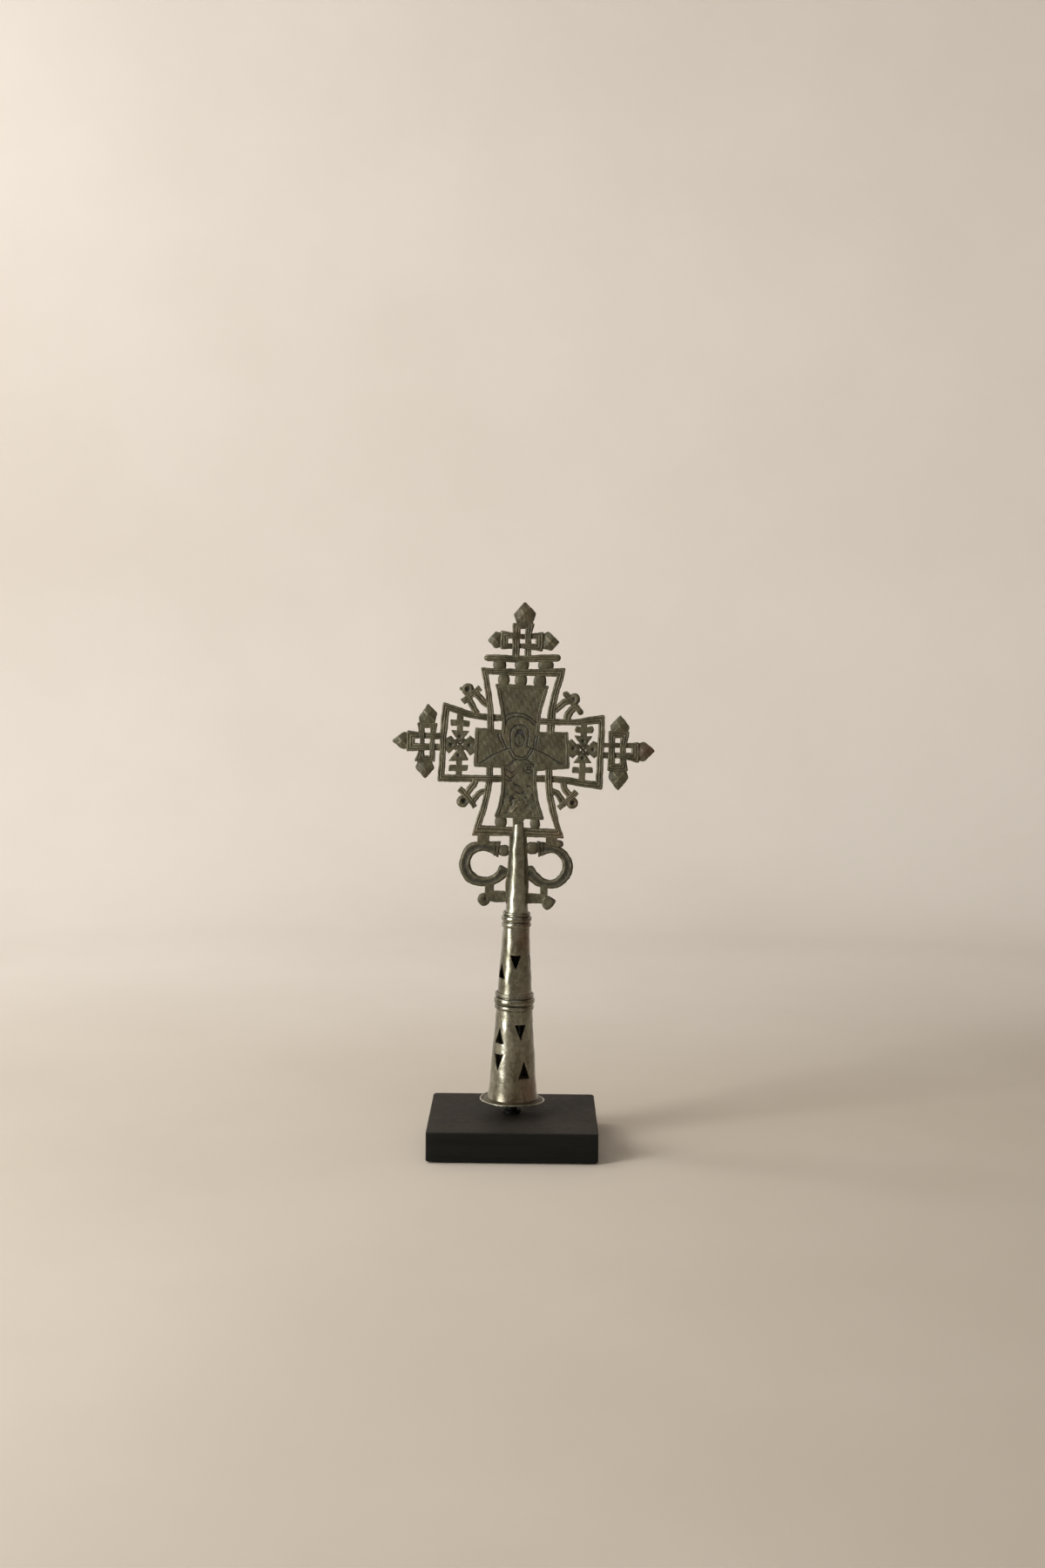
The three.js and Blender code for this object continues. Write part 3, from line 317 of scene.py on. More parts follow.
def swept(stations, section, depth, closed=False, round_ends=False):
    """Carries a section along stations: point = outer + (inner - outer) share and
    depth = -(lift + height depth / 2). Open strips end in a cap, which may be round."""
    scale = np.ones(len(stations))
    if round_ends:
        stations, scale = rounded_ends(stations)
    outer, inner, lift = stations[:, None, :2], stations[:, None, 2:4], stations[:, None, 4]
    share, height, wear_and_shade = section[None, :, 0:1], section[None, :, 1], section[None, :, 2]
    flat = outer + (inner - outer) * share
    back = -(lift + height * scale[:, None] * depth / 2)
    grid = np.stack([flat[..., 0], back, flat[..., 1]], -1)
    rows, columns = len(stations), len(section)
    wear_and_shade = np.repeat(wear_and_shade, rows, 0).ravel()
    if closed:
        return shell(grid, lattice(rows, columns, True, True), None, wear_and_shade)
    return capped(grid, grid[[0, -1]].mean(1), np.r_[wear_and_shade, END_WEAR, END_WEAR])


# Trimmed grids: a grid of two parameters cut along the line where a function of them is zero. A grid point
# moves at most this share of the way to its neighbour.
LARGEST_MOVE = 0.501


def trimmed(us, vs, inside, wrap=False):
    """Keeps the part of a grid where inside(u, v) is positive.

    Where the function changes sign between two neighbouring grid points, the nearer one is moved on to the
    zero line. Cells across the line are split along the diagonal that joins two points on it.
    """
    rows, columns = len(us), len(vs)
    i, j = np.meshgrid(np.arange(rows), np.arange(columns), indexing="ij")
    value = inside(us[i], vs[j])
    best, move_u, move_v = np.full(value.shape, LARGEST_MOVE), np.zeros(value.shape), np.zeros(value.shape)
    step = np.diff(vs).mean()
    next_u = np.diff(us, append=us[-1])[i]
    last_u = np.diff(us, prepend=us[0])[i]
    next_v = np.full(value.shape, step) if wrap else np.diff(vs, append=vs[-1])[j]
    last_v = np.full(value.shape, step) if wrap else np.diff(vs, prepend=vs[0])[j]
    for axis, sign, size in ((0, 1, next_u), (0, -1, last_u), (1, 1, next_v), (1, -1, last_v)):
        other = np.roll(value, -sign, axis)
        if axis == 0 or not wrap:
            edge = [slice(None), slice(None)]
            edge[axis] = -1 if sign > 0 else 0
            other[tuple(edge)] = value[tuple(edge)]
        share = np.abs(value) / (np.abs(value) + np.abs(other) + 1e-12)
        take = (value * other < 0) & (share < best)
        best = np.where(take, share, best)
        move_u = np.where(take, sign * share * size if axis == 0 else 0, move_u)
        move_v = np.where(take, sign * share * size if axis == 1 else 0, move_v)
    state = np.where(best < LARGEST_MOVE, 0, np.sign(value))
    u, v = (us[i] + move_u).ravel(), (vs[j] + move_v).ravel()
    cells = lattice(rows, columns, wrap_columns=wrap)
    corner = state.ravel()[cells]
    out, on = (corner < 0).any(1), (corner == 0).sum(1)
    plain = ~out & (on < 3)
    odd = cells[~plain & ((corner > 0).any(1) | (on >= 3))]
    states, values = state.ravel()[odd], value.ravel()[odd]
    across = (states[:, 1] == 0) & (states[:, 3] == 0) & ~((states[:, 0] == 0) & (states[:, 2] == 0))
    order = np.where(across[:, None], np.array([[0, 1, 3, 1, 2, 3]]), np.array([[0, 1, 2, 0, 2, 3]]))
    split = np.take_along_axis(odd, order, 1).reshape(-1, 3)
    split_state = np.take_along_axis(states, order, 1).reshape(-1, 3)
    split_value = np.take_along_axis(values, order, 1).reshape(-1, 3)
    keep = ~(split_state < 0).any(1) & ((split_state > 0).any(1) | (split_value.mean(1) > 0))
    return compact(u, v, cells[plain], split[keep])


def compact(u, v, quads, tris):
    """Drops the points that no face uses and numbers the others anew."""
    used = np.unique(np.concatenate([quads.ravel(), tris.ravel()]))
    number = np.full(len(u), -1)
    number[used] = np.arange(len(used))
    return u[used], v[used], number[quads], number[tris]


def thickened(front, back, quads, tris, wear_and_shade, back_wear):
    """Closes a front and a back sheet of the same cells with a wall along each edge that has only one
    cell."""
    count = len(front)
    sides = [faces[:, [k, (k + 1) % size]] for faces, size in ((quads, 4), (tris, 3)) for k in range(size)]
    edges = np.concatenate(sides)
    code, reverse = edges[:, 0] * count + edges[:, 1], edges[:, 1] * count + edges[:, 0]
    rim = edges[~np.isin(code, reverse)]
    wall = np.stack([rim[:, 1], rim[:, 0], rim[:, 0] + count, rim[:, 1] + count], 1)
    quads = np.concatenate([quads, quads[:, ::-1] + count, wall])
    tris = np.concatenate([tris, tris[:, ::-1] + count])
    return shell(np.concatenate([front, back]), quads, tris, np.r_[wear_and_shade, np.full(count, back_wear)])


NOISE_CELLS = 97


def uneven(x, y, size, seed):
    """Smooth noise from -1 to 1: random values at the corners of square cells, blended by 3 s^2 - 2 s^3."""
    grid = np.random.default_rng(seed).uniform(-1, 1, (NOISE_CELLS, NOISE_CELLS))
    i, j = np.floor(x / size).astype(int), np.floor(y / size).astype(int)
    s, t = x / size - i, y / size - j
    s, t = s * s * (3 - 2 * s), t * t * (3 - 2 * t)
    here_x, here_y = i % NOISE_CELLS, j % NOISE_CELLS
    next_x, next_y = (i + 1) % NOISE_CELLS, (j + 1) % NOISE_CELLS
    low = grid[here_x, here_y] * (1 - s) + grid[next_x, here_y] * s
    high = grid[here_x, next_y] * (1 - s) + grid[next_x, next_y] * s
    return low * (1 - t) + high * t


def softened(outline, passes, spacing=0.5):
    """Outline with rounded corners: points at even steps along each side, each then moved passes times
    halfway to the mean of its neighbours."""
    parts = []
    for start, end in zip(outline, np.roll(outline, -1, 0)):
        start, end = np.asarray(start, float), np.asarray(end, float)
        steps = max(1, int(round(np.linalg.norm(end - start) / spacing)))
        parts.append(start + (end - start) * np.linspace(0, 1, steps, endpoint=False)[:, None])
    line = np.concatenate(parts)
    for _ in range(passes):
        line = (line + (np.roll(line, 1, 0) + np.roll(line, -1, 0)) / 2) / 2
    return line


def outline_distance(x, y, outline):
    """Distance to a closed outline: the least distance to its edges, negative outside, where a ray crosses it
    an even number of times."""
    ends = np.roll(outline, -1, 0)
    shape = x.shape
    x, y = x.ravel()[:, None], y.ravel()[:, None]
    ax, ay, bx, by = outline[:, 0], outline[:, 1], ends[:, 0], ends[:, 1]
    share = ((x - ax) * (bx - ax) + (y - ay) * (by - ay)) / ((bx - ax) ** 2 + (by - ay) ** 2)
    share = np.clip(share, 0, 1)
    away = np.hypot(x - ax - share * (bx - ax), y - ay - share * (by - ay)).min(1)
    straddles = (ay > y) != (by > y)
    with np.errstate(divide="ignore", invalid="ignore"):
        right = x < ax + (y - ay) / (by - ay) * (bx - ax)
    crossings = (straddles & right).sum(1)
    return np.where(crossings % 2 == 1, away, -away).reshape(shape)


def line_distance(x, y, line):
    """Least distance to the pieces of an open line."""
    line = np.asarray(line, float)
    best = np.full(x.shape, 1e9)
    for (ax, ay), (bx, by) in zip(line[:-1], line[1:]):
        share = ((x - ax) * (bx - ax) + (y - ay) * (by - ay)) / ((bx - ax) ** 2 + (by - ay) ** 2)
        share = np.clip(share, 0, 1)
        best = np.minimum(best, np.hypot(x - ax - share * (bx - ax), y - ay - share * (by - ay)))
    return best


def plate(outline, depth, relief=None, spacing=0.42, edge=0.55, soft=2):
    """Flat cast piece: half the depth in front less an edge rounding r (1 - sqrt(1 - (1 - d / r)^2)), d being
    the distance to the outline, plus relief(x, y), which gives a height and a wear-and-shade value."""
    outline = softened(outline, soft)
    low, high = outline.min(0) - spacing, outline.max(0) + spacing
    us = np.linspace(low[0], high[0], max(4, int((high[0] - low[0]) / spacing) + 1))
    vs = np.linspace(low[1], high[1], max(4, int((high[1] - low[1]) / spacing) + 1))
    grid = trimmed(us, vs, lambda a, b: outline_distance(a, b, outline))
    return raised(grid, outline, depth, relief, edge)


def raised(grid, outline, depth, relief, edge):
    """Gives a trimmed grid its front and its back and closes it; the wear grows towards the outline."""
    x, y, quads, tris = grid
    d = np.clip(outline_distance(x, y, outline), 0, None)
    drop = edge * (1 - np.sqrt(np.clip(1 - np.clip(1 - d / edge, 0, 1) ** 2, 0, 1)))
    height, wear_and_shade = relief(x, y) if relief else (0, 0.55)
    wear_and_shade = np.clip(wear_and_shade + 0.35 * np.exp(-(d / 0.5) ** 2), 0, 1)
    front = np.stack([x, -(depth / 2 - drop + height), y], 1)
    back = np.stack([x, depth / 2 - drop, y], 1)
    return thickened(front, back, quads, tris, wear_and_shade, 0.48)


def all_round(count):
    """Even turns from 0 to one step before a full turn."""
    return np.linspace(0, 2 * math.pi, count, endpoint=False)


BEAD_RINGS, BEAD_SIDES = 17, 32
BEAD_POLE_SHADE = 0.2


def bead(x, y, width, height, depth=4.6, square=0.8):
    """Rounded bead: with a from pole to pole and b round it, half sizes times signed powers of sin a cos b,
    sin a sin b and cos a. A power under 1 makes it squarer."""
    a = np.linspace(0, math.pi, BEAD_RINGS)[1:-1, None]
    b = all_round(BEAD_SIDES)[None, :]

    def power(value):
        return np.sign(value) * np.abs(value) ** square

    across = power(np.sin(a)) * power(np.cos(b)) * width / 2
    deep = power(np.sin(a)) * power(np.sin(b)) * depth / 2
    up = power(np.cos(a)) * height / 2 + 0 * b
    grid = np.stack([x + across, deep, y + up], -1)
    poles = [[x, 0, y + height / 2], [x, 0, y - height / 2]]
    # Darker towards the top and bottom, where the bead meets its neighbours: dark patina and painted shade
    wear_and_shade = 0.36 + 0.22 * np.sin(a) ** 4 + 0 * b
    return capped(grid, poles, np.r_[wear_and_shade.ravel(), BEAD_POLE_SHADE, BEAD_POLE_SHADE])


# Materials

class Finish:
    """A node material: small helpers that add nodes and join them."""

    def __init__(self, name):
        self.material = bpy.data.materials.new(name)
        self.material.use_nodes = True
        self.tree = self.material.node_tree
        self.tree.nodes.clear()
        self.surface = self.add("ShaderNodeBsdfPrincipled")
        output = self.add("ShaderNodeOutputMaterial")
        self.join(self.surface.outputs[0], output.inputs[0])
        self.place = self.add("ShaderNodeTexCoord").outputs["Object"]

    def add(self, kind, **values):
        node = self.tree.nodes.new(kind)
        for key, value in values.items():
            setattr(node, key, value)
        return node

    def join(self, source, target):
        self.tree.links.new(source, target)

    def feed(self, target, value):
        if isinstance(value, bpy.types.NodeSocket):
            self.join(value, target)
        else:
            target.default_value = value

    def stretched(self, scale):
        node = self.add("ShaderNodeMapping")
        self.join(self.place, node.inputs["Vector"])
        node.inputs["Scale"].default_value = scale
        return node.outputs[0]

    def noise(self, scale, detail=4.0, roughness=0.55, vector=None, distortion=0.0):
        node = self.add("ShaderNodeTexNoise")
        self.join(vector or self.place, node.inputs["Vector"])
        node.inputs["Scale"].default_value = scale
        node.inputs["Detail"].default_value = detail
        node.inputs["Roughness"].default_value = roughness
        node.inputs["Distortion"].default_value = distortion
        return node.outputs["Fac"]

    def cells(self, scale):
        node = self.add("ShaderNodeTexVoronoi")
        self.join(self.place, node.inputs["Vector"])
        node.inputs["Scale"].default_value = scale
        return node.outputs["Distance"]

    def value_of(self, name):
        return self.add("ShaderNodeAttribute", attribute_name=name).outputs["Fac"]

    def ramp(self, source, low, high, start=0.0, end=1.0):
        node = self.add("ShaderNodeMapRange", interpolation_type="SMOOTHSTEP")
        self.join(source, node.inputs["Value"])
        for key, value in (("From Min", low), ("From Max", high), ("To Min", start), ("To Max", end)):
            node.inputs[key].default_value = value
        return node.outputs["Result"]

    def math(self, operation, a, b):
        node = self.add("ShaderNodeMath", operation=operation)
        self.feed(node.inputs[0], a)
        self.feed(node.inputs[1], b)
        return node.outputs[0]

    def mix(self, share, a, b):
        node = self.add("ShaderNodeMix", data_type="RGBA")
        self.feed(node.inputs["Factor"], share)
        for socket, value in (("A", a), ("B", b)):
            target = [s for s in node.inputs if s.name == socket and s.type == "RGBA"][0]
            self.feed(target, (*value, 1.0) if isinstance(value, tuple) else value)
        return [s for s in node.outputs if s.type == "RGBA"][0]

    def bump(self, height, distance, normal=None):
        node = self.add("ShaderNodeBump")
        self.join(height, node.inputs["Height"])
        node.inputs["Distance"].default_value = distance
        node.inputs["Strength"].default_value = 1.0
        if normal:
            self.join(normal, node.inputs["Normal"])
        return node.outputs[0]

    def finish(self, color, roughness, metallic=0.0, normal=None, specular=0.5):
        surface = self.surface.inputs
        self.feed(surface["Base Color"], color)
        self.feed(surface["Roughness"], roughness)
        self.feed(surface["Metallic"], metallic)
        surface["Specular IOR Level"].default_value = specular
        if normal:
            self.join(normal, surface["Normal"])
        return self.material


def bronze_finish():
    """Old cast bronze: olive-brown patina, darker in the recesses with dark patina and painted shade, brown
    and brighter where it is worn.
    """
    f = Finish("dark_bronze_patina")
    wear_and_shade, warmth = f.value_of("wear_and_shade"), f.value_of("warmth")
    clouds = f.noise(95, 5, 0.6, distortion=0.4)
    mottle = f.noise(640, 5, 0.68)
    grain = f.noise(1900, 3, 0.6)
    olive = f.mix(f.ramp(clouds, 0.36, 0.66), (0.047, 0.043, 0.022), (0.079, 0.073, 0.039))
    olive = f.mix(f.ramp(mottle, 0.46, 0.70, 0, 0.40), olive, (0.118, 0.108, 0.062))
    worn = f.mix(f.ramp(mottle, 0.35, 0.65), (0.112, 0.094, 0.054), (0.270, 0.238, 0.160))
    rubbed = f.math("MULTIPLY", f.ramp(wear_and_shade, 0.48, 0.90), f.ramp(clouds, 0.34, 0.64, 0.12, 0.95))
    color = f.mix(rubbed, olive, worn)
    red = f.math("MULTIPLY", warmth, f.ramp(mottle, 0.35, 0.60, 0.35, 1.0))
    color = f.mix(red, color, (0.115, 0.060, 0.036))
    rust = f.ramp(f.noise(160, 3, 0.7), 0.62, 0.72, 0, 0.55)
    color = f.mix(rust, color, (0.105, 0.066, 0.040))
    # Dark patina and painted shade: near black where the wear-and-shade value is low, in grooves, cuts, pits
    # and joins
    patina_and_painted_shade = f.ramp(wear_and_shade, 0.02, 0.44, 0.96, 0)
    color = f.mix(patina_and_painted_shade, color, (0.0065, 0.0055, 0.0030))
    color = f.mix(f.ramp(grain, 0.62, 0.78, 0, 0.35), color, (0.020, 0.018, 0.012))
    shine = f.math("MULTIPLY", f.ramp(wear_and_shade, 0.3, 1.0, 0.15, 0.75), f.ramp(mottle, 0.3, 0.7, 0.6, 1.0))
    roughness = f.math("SUBTRACT", f.ramp(mottle, 0.3, 0.7, 0.62, 0.50), f.math("MULTIPLY", rubbed, 0.16))
    normal = f.bump(grain, 0.00012)
    normal = f.bump(f.noise(560, 4, 0.6), 0.00017, normal)
    normal = f.bump(f.noise(150, 3, 0.5), 0.00045, normal)
    return f.finish(color, roughness, shine, normal)


WAX_ROUGHNESS = 0.24


def silver_finish(name, dark=0.0, dull=0.0, film=1.0):
    """Silvered brass sheet: bright where it is rubbed, olive and brown where it is tarnished, with fine dents
    under a smooth film of wax. Dark adds to the share of tarnish, dull to the roughness, film is the wax."""
    f = Finish(name)
    wear_and_shade, warmth = f.value_of("wear_and_shade"), f.value_of("warmth")
    drawn = f.stretched((1, 1, 0.28))
    clouds = f.noise(60, 5, 0.6, drawn, 0.3)
    mottle = f.noise(240, 5, 0.65)
    speck = f.noise(1100, 3, 0.6)
    bright = f.mix(f.ramp(mottle, 0.3, 0.7), (0.242, 0.236, 0.176), (0.42, 0.415, 0.338))
    tarnish = f.mix(f.ramp(mottle, 0.35, 0.65), (0.040, 0.037, 0.014), (0.095, 0.087, 0.040))
    share = f.math("ADD", f.ramp(clouds, 0.35, 0.62, 0.26, 0.92), dark)
    color = f.mix(share, bright, tarnish)
    red = f.math("MULTIPLY", warmth, f.ramp(mottle, 0.3, 0.6, 0.5, 1))
    color = f.mix(red, color, (0.130, 0.074, 0.043))
    # Painted shade and tarnish: dark brown where the wear-and-shade value is low, inside the tubes, round the
    # punched holes, at the wires' feet and on the flange
    color = f.mix(f.ramp(wear_and_shade, 0.0, 0.40, 0.85, 0), color, (0.030, 0.026, 0.016))
    color = f.mix(f.ramp(speck, 0.63, 0.74, 0, 0.6), color, (0.055, 0.048, 0.032))
    even = f.ramp(mottle, 0.3, 0.7, 0.18 + dull, 0.29 + dull)
    roughness = f.math("ADD", even, f.ramp(clouds, 0.4, 0.7, 0, 0.08))
    normal = f.bump(speck, 0.00004)
    normal = f.bump(f.noise(330, 4, 0.6), 0.00009, normal)
    normal = f.bump(f.noise(75, 3, 0.5, drawn), 0.00036, normal)
    material = f.finish(color, roughness, f.ramp(wear_and_shade, 0.0, 0.4, 0.55, 0.94), normal)
    f.surface.inputs["Coat Weight"].default_value = film
    f.surface.inputs["Coat Roughness"].default_value = WAX_ROUGHNESS
    return material


def black_wood_finish():
    """Wood painted matte black: faint grain along the block, paler brown in clouds on the faces that point
    up, rubbed edges."""
    f = Finish("matte_black_wood")
    wear_and_shade = f.value_of("wear_and_shade")
    grain = f.noise(110, 6, 0.6, f.stretched((0.10, 1.6, 1.6)), 0.3)
    fine = f.noise(700, 4, 0.6, f.stretched((0.25, 1.5, 1.5)))
    cloud = f.noise(28, 4, 0.6)
    color = f.mix(f.ramp(grain, 0.35, 0.65), (0.0026, 0.0030, 0.0022), (0.0052, 0.0053, 0.0040))
    up = f.add("ShaderNodeNewGeometry").outputs["Normal"]
    split = f.add("ShaderNodeSeparateXYZ")
    f.join(up, split.inputs[0])
    # Paler brown, in clouds, on faces that point up
    upward_paleness = f.math("MULTIPLY", f.ramp(split.outputs["Z"], 0.55, 0.95), f.ramp(cloud, 0.25, 0.75, 0.45, 1.0))
    color = f.mix(upward_paleness, color, (0.026, 0.0215, 0.0165))
    color = f.mix(f.ramp(wear_and_shade, 0.80, 1.0, 0, 0.16), color, (0.024, 0.021, 0.016))
    roughness = f.ramp(fine, 0.3, 0.7, 0.60, 0.76)
    normal = f.bump(fine, 0.00006)
    normal = f.bump(grain, 0.00022, normal)
    return f.finish(color, roughness, 0.0, normal, 0.16)


def steel_finish(name, dark, light, rough):
    """Steel with a thin oxide: two greys in clouds, fine turning marks."""
    f = Finish(name)
    cloud = f.noise(220, 4, 0.6)
    turning = f.noise(900, 2, 0.5, f.stretched((0.2, 0.2, 2.0)))
    color = f.mix(f.ramp(cloud, 0.35, 0.65), dark, light)
    return f.finish(color, f.ramp(cloud, 0.3, 0.7, rough, rough + 0.15), 0.85, f.bump(turning, 0.00005))


def brown_wood_finish():
    """Plain turned wood with rings about the axis."""
    f = Finish("brown_bush_wood")
    grain = f.noise(160, 5, 0.6, f.stretched((1.5, 1.5, 0.2)), 0.5)
    color = f.mix(f.ramp(grain, 0.3, 0.7), (0.085, 0.045, 0.022), (0.20, 0.115, 0.058))
    return f.finish(color, f.ramp(grain, 0.3, 0.7, 0.6, 0.75), 0.0, f.bump(grain, 0.0003))


def leather_finish():
    """Tanned leather: small cells with darker creases."""
    f = Finish("tan_leather_cap")
    cells = f.cells(1500)
    color = f.mix(f.ramp(cells, 0.1, 0.6), (0.06, 0.03, 0.014), (0.17, 0.09, 0.045))
    return f.finish(color, f.ramp(cells, 0.1, 0.7, 0.75, 0.6), 0.0, f.bump(cells, 0.0003))


def felt_finish():
    """Dark green felt of fine matted fibres."""
    f = Finish("dark_green_felt")
    fibre = f.noise(1400, 5, 0.75, distortion=1.5)
    color = f.mix(f.ramp(fibre, 0.3, 0.7), (0.008, 0.016, 0.011), (0.024, 0.040, 0.029))
    material = f.finish(color, 0.95, 0.0, f.bump(fibre, 0.0004), 0.2)
    f.surface.inputs["Sheen Weight"].default_value = 0.25
    return material


bronze = bronze_finish()
silver = silver_finish("silvered_brass_worn")
silver_dull = silver_finish("silvered_brass_rubbed", -0.28, 0.10)
silver_bright = silver_finish("silvered_brass_wire", -0.25, 0.02)
silver_dark = silver_finish("silvered_brass_tarnished", 0.16, 0.05)
silver_worn = silver_finish("silvered_brass_flange", 0.36, 0.24, 0.0)
black_wood = black_wood_finish()
black_steel = steel_finish("black_steel_rod", (0.006, 0.006, 0.006), (0.014, 0.013, 0.012), 0.50)
plain_steel = steel_finish("plain_steel_fixings", (0.30, 0.30, 0.30), (0.46, 0.46, 0.45), 0.30)


# Head: the four woven brackets, each as three runs of (outer x, outer y, inner x, inner y, lift)
OVER, UNDER = WEAVE_LIFT, -WEAVE_LIFT
BRACKETS = {
    "up": [
        [(-24.3, 12.4, -19.4, 12.4, 0), (-24.3, 21.2, -19.5, 21.2, OVER), (-24.9, 29.0, -20.2, 29.0, 0),
         (-25.9, 36.5, -21.2, 36.0, 0), (-27.9, 48.0, -23.2, 46.5, 0), (-29.6, 56.2, -24.1, 51.4, 0)],
        [(-29.6, 56.2, -24.1, 51.4, 0), (-12, 55.9, -10, 51.0, 0), (8, 56.1, 7, 50.9, 0),
         (30.6, 57.3, 24.2, 51.0, 0)],
        [(30.6, 57.3, 24.2, 51.0, 0), (28.4, 48.0, 22.4, 45.0, 0), (25.6, 37.0, 20.2, 36.0, 0),
         (24.2, 28.0, 18.6, 28.0, 0), (23.9, 19.2, 18.0, 19.2, UNDER), (23.5, 10.6, 18.1, 10.6, 0)],
    ],
    "right": [
        [(12.6, 21.4, 12.6, 16.8, 0), (21.0, 21.4, 21.0, 16.8, OVER), (30.0, 21.1, 29.0, 16.9, 0),
         (40.0, 21.7, 39.0, 16.8, 0), (50.0, 23.6, 48.0, 17.6, 0), (58.9, 25.0, 54.6, 18.6, 0)],
        [(58.9, 25.0, 54.6, 18.6, 0), (59.1, 8.0, 54.4, 6.0, 0), (58.9, -8.0, 54.0, -7.0, 0),
         (58.5, -28.5, 53.6, -22.4, 0)],
        [(58.5, -28.5, 53.6, -22.4, 0), (46.0, -26.8, 44.0, -21.4, 0), (34.0, -25.0, 33.0, -19.9, 0),
         (28.0, -24.3, 27.0, -19.4, 0), (20.6, -24.0, 20.6, -19.3, UNDER), (11.2, -23.8, 11.2, -19.2, 0)],
    ],
    "down": [
        [(22.8, -14.6, 17.6, -14.6, 0), (23.0, -21.8, 17.8, -21.8, OVER), (23.6, -30.0, 18.4, -30.0, 0),
         (26.4, -43.2, 21.0, -43.2, 0), (29.0, -54.0, 23.6, -51.5, 0), (32.5, -63.8, 25.8, -57.0, 0)],
        [(32.5, -63.8, 25.8, -57.0, 0), (12, -63.3, 10, -56.9, 0), (-12, -63.0, -10, -56.2, 0),
         (-33.6, -63.5, -26.4, -55.8, 0)],
        [(-33.6, -63.5, -26.4, -55.8, 0), (-30.6, -53.0, -25.0, -50.5, 0), (-27.8, -43.5, -22.8, -43.0, 0),
         (-25.2, -32.0, -20.4, -32.0, 0), (-24.2, -22.3, -19.3, -22.3, UNDER),
         (-24.1, -13.0, -19.2, -13.0, 0)],
    ],
    "left": [
        [(-12.4, -24.6, -12.4, -19.8, 0), (-21.7, -24.8, -21.7, -19.9, OVER),
         (-30.0, -24.9, -29.5, -20.0, 0), (-44.0, -25.3, -42.5, -20.2, 0), (-58.6, -25.6, -53.6, -20.2, 0)],
        [(-58.6, -25.6, -53.6, -20.2, 0), (-57.8, -10.0, -53.1, -7.5, 0), (-57.4, 5.0, -52.8, 4.0, 0),
         (-56.9, 19.0, -52.0, 14.5, 0), (-55.8, 31.5, -51.3, 24.7, 0)],
        [(-55.8, 31.5, -51.3, 24.7, 0), (-49.3, 29.3, -46.0, 23.2, 0), (-42.1, 27.0, -40.9, 21.3, 0),
         (-36.4, 25.3, -35.6, 20.1, 0), (-29.4, 23.8, -28.0, 19.1, 0), (-21.9, 23.4, -21.9, 18.6, UNDER),
         (-13.0, 23.2, -13.0, 18.4, 0)],
    ],
}
BRACKET_ROUNDING = {"up": (3, 1), "right": (5, 1), "down": (3, 1), "left": (6, 1)}
for side, runs in BRACKETS.items():
    stations = stations_of(runs, rounding=BRACKET_ROUNDING[side])
    add_cast(f"woven_bracket_{side}", [swept(stations, ridged(3), STRIP_DEPTH)])

# Head: the flared panel, its raised border and its engraving
PANEL_SIDES = [
    [(-19.3, 45.3), (0, 44.6), (18.9, 44.6)],
    [(18.9, 44.6), (17.0, 37.2), (13.9, 24.0), (12.9, 11.8)],
    [(12.9, 11.8), (33.4, 12.0)],
    [(33.4, 12.0), (34.3, 0), (34.9, -13.9)],
    [(34.9, -13.9), (11.8, -16.3)],
    [(11.8, -16.3), (11.8, -24.0), (14.6, -40.3), (18.4, -51.0)],
    [(18.4, -51.0), (4, -50.4), (-18.0, -49.7)],
    [(-18.0, -49.7), (-15.6, -43.0), (-13.9, -33.0), (-13.1, -24.3), (-13.9, -14.5)],
    [(-13.9, -14.5), (-33.1, -14.4)],
    [(-33.1, -14.4), (-33.0, 0), (-32.8, 13.7)],
    [(-32.8, 13.7), (-14.2, 12.5)],
    [(-14.2, 12.5), (-13.8, 17.0), (-14.9, 25.1), (-17.1, 36.2), (-19.3, 45.3)],
]
BORDER_WIDTH = 2.7

# Engraved lines of the figure and the marks below it, as rows of points
HALO = [
    [(-14.0, 17.3), (-12.1, 20.9), (-9.5, 23.5), (-6, 24.6), (-2, 24.5), (3, 23.5), (6.5, 21.7), (9.5, 19.4),
     (11.6, 17)],
    [(-12.1, 15.3), (-10.3, 18.5), (-7.6, 20.9), (-4, 22), (0, 22), (3.5, 20.9), (6.8, 19.1), (9.7, 16.4)],
    [(-16.0, 11.2), (-15.5, 6.8), (-13.8, 3.2), (-11.9, 0.2)],
    [(-14.2, 11.2), (-13.3, 6.8), (-11.6, 3.1), (-9.7, 0.2)],
    [(12.5, 9.9), (11.4, 5.5), (11.1, 0.4)],
    [(11.0, 9.8), (9.7, 6.0), (9.6, 0.6)],
]
GARMENT = [
    [(-6.5, -0.3), (-7.0, 4.2), (-7.4, 8.3), (-6.9, 11.9), (-5.6, 14.3), (-3.4, 15.9), (-0.8, 16.5),
     (1.6, 16.1), (3.7, 14.7), (5.0, 12.6), (5.5, 10.0), (5.3, 6.0), (4.6, 3.2), (4.4, 0.9)],
    [(-8.2, -2.3), (-4.1, -7.7), (-2.6, -8.1), (3.4, -7.9), (4.4, -7.3), (9.3, -0.9)],
    [(-6.3, -1.6), (-2.9, -5.7), (-2, -6.1), (3.1, -6.0), (3.8, -5.6), (7.3, -0.3)],
    [(-6.2, -0.3), (-9.8, -1.0), (-14.2, -2.9), (-20, -5.9), (-28.6, -11.6)],
    [(4.4, 0.9), (9.2, -0.3), (14.6, -2.4), (22.9, -6.8), (30.4, -11.0)],
    [(-4.5, -8.5), (-9.2, -12.9)],
    [(-2.9, -8.5), (-7.9, -13.2)],
    [(4.4, -7.9), (9.8, -12.0)],
]
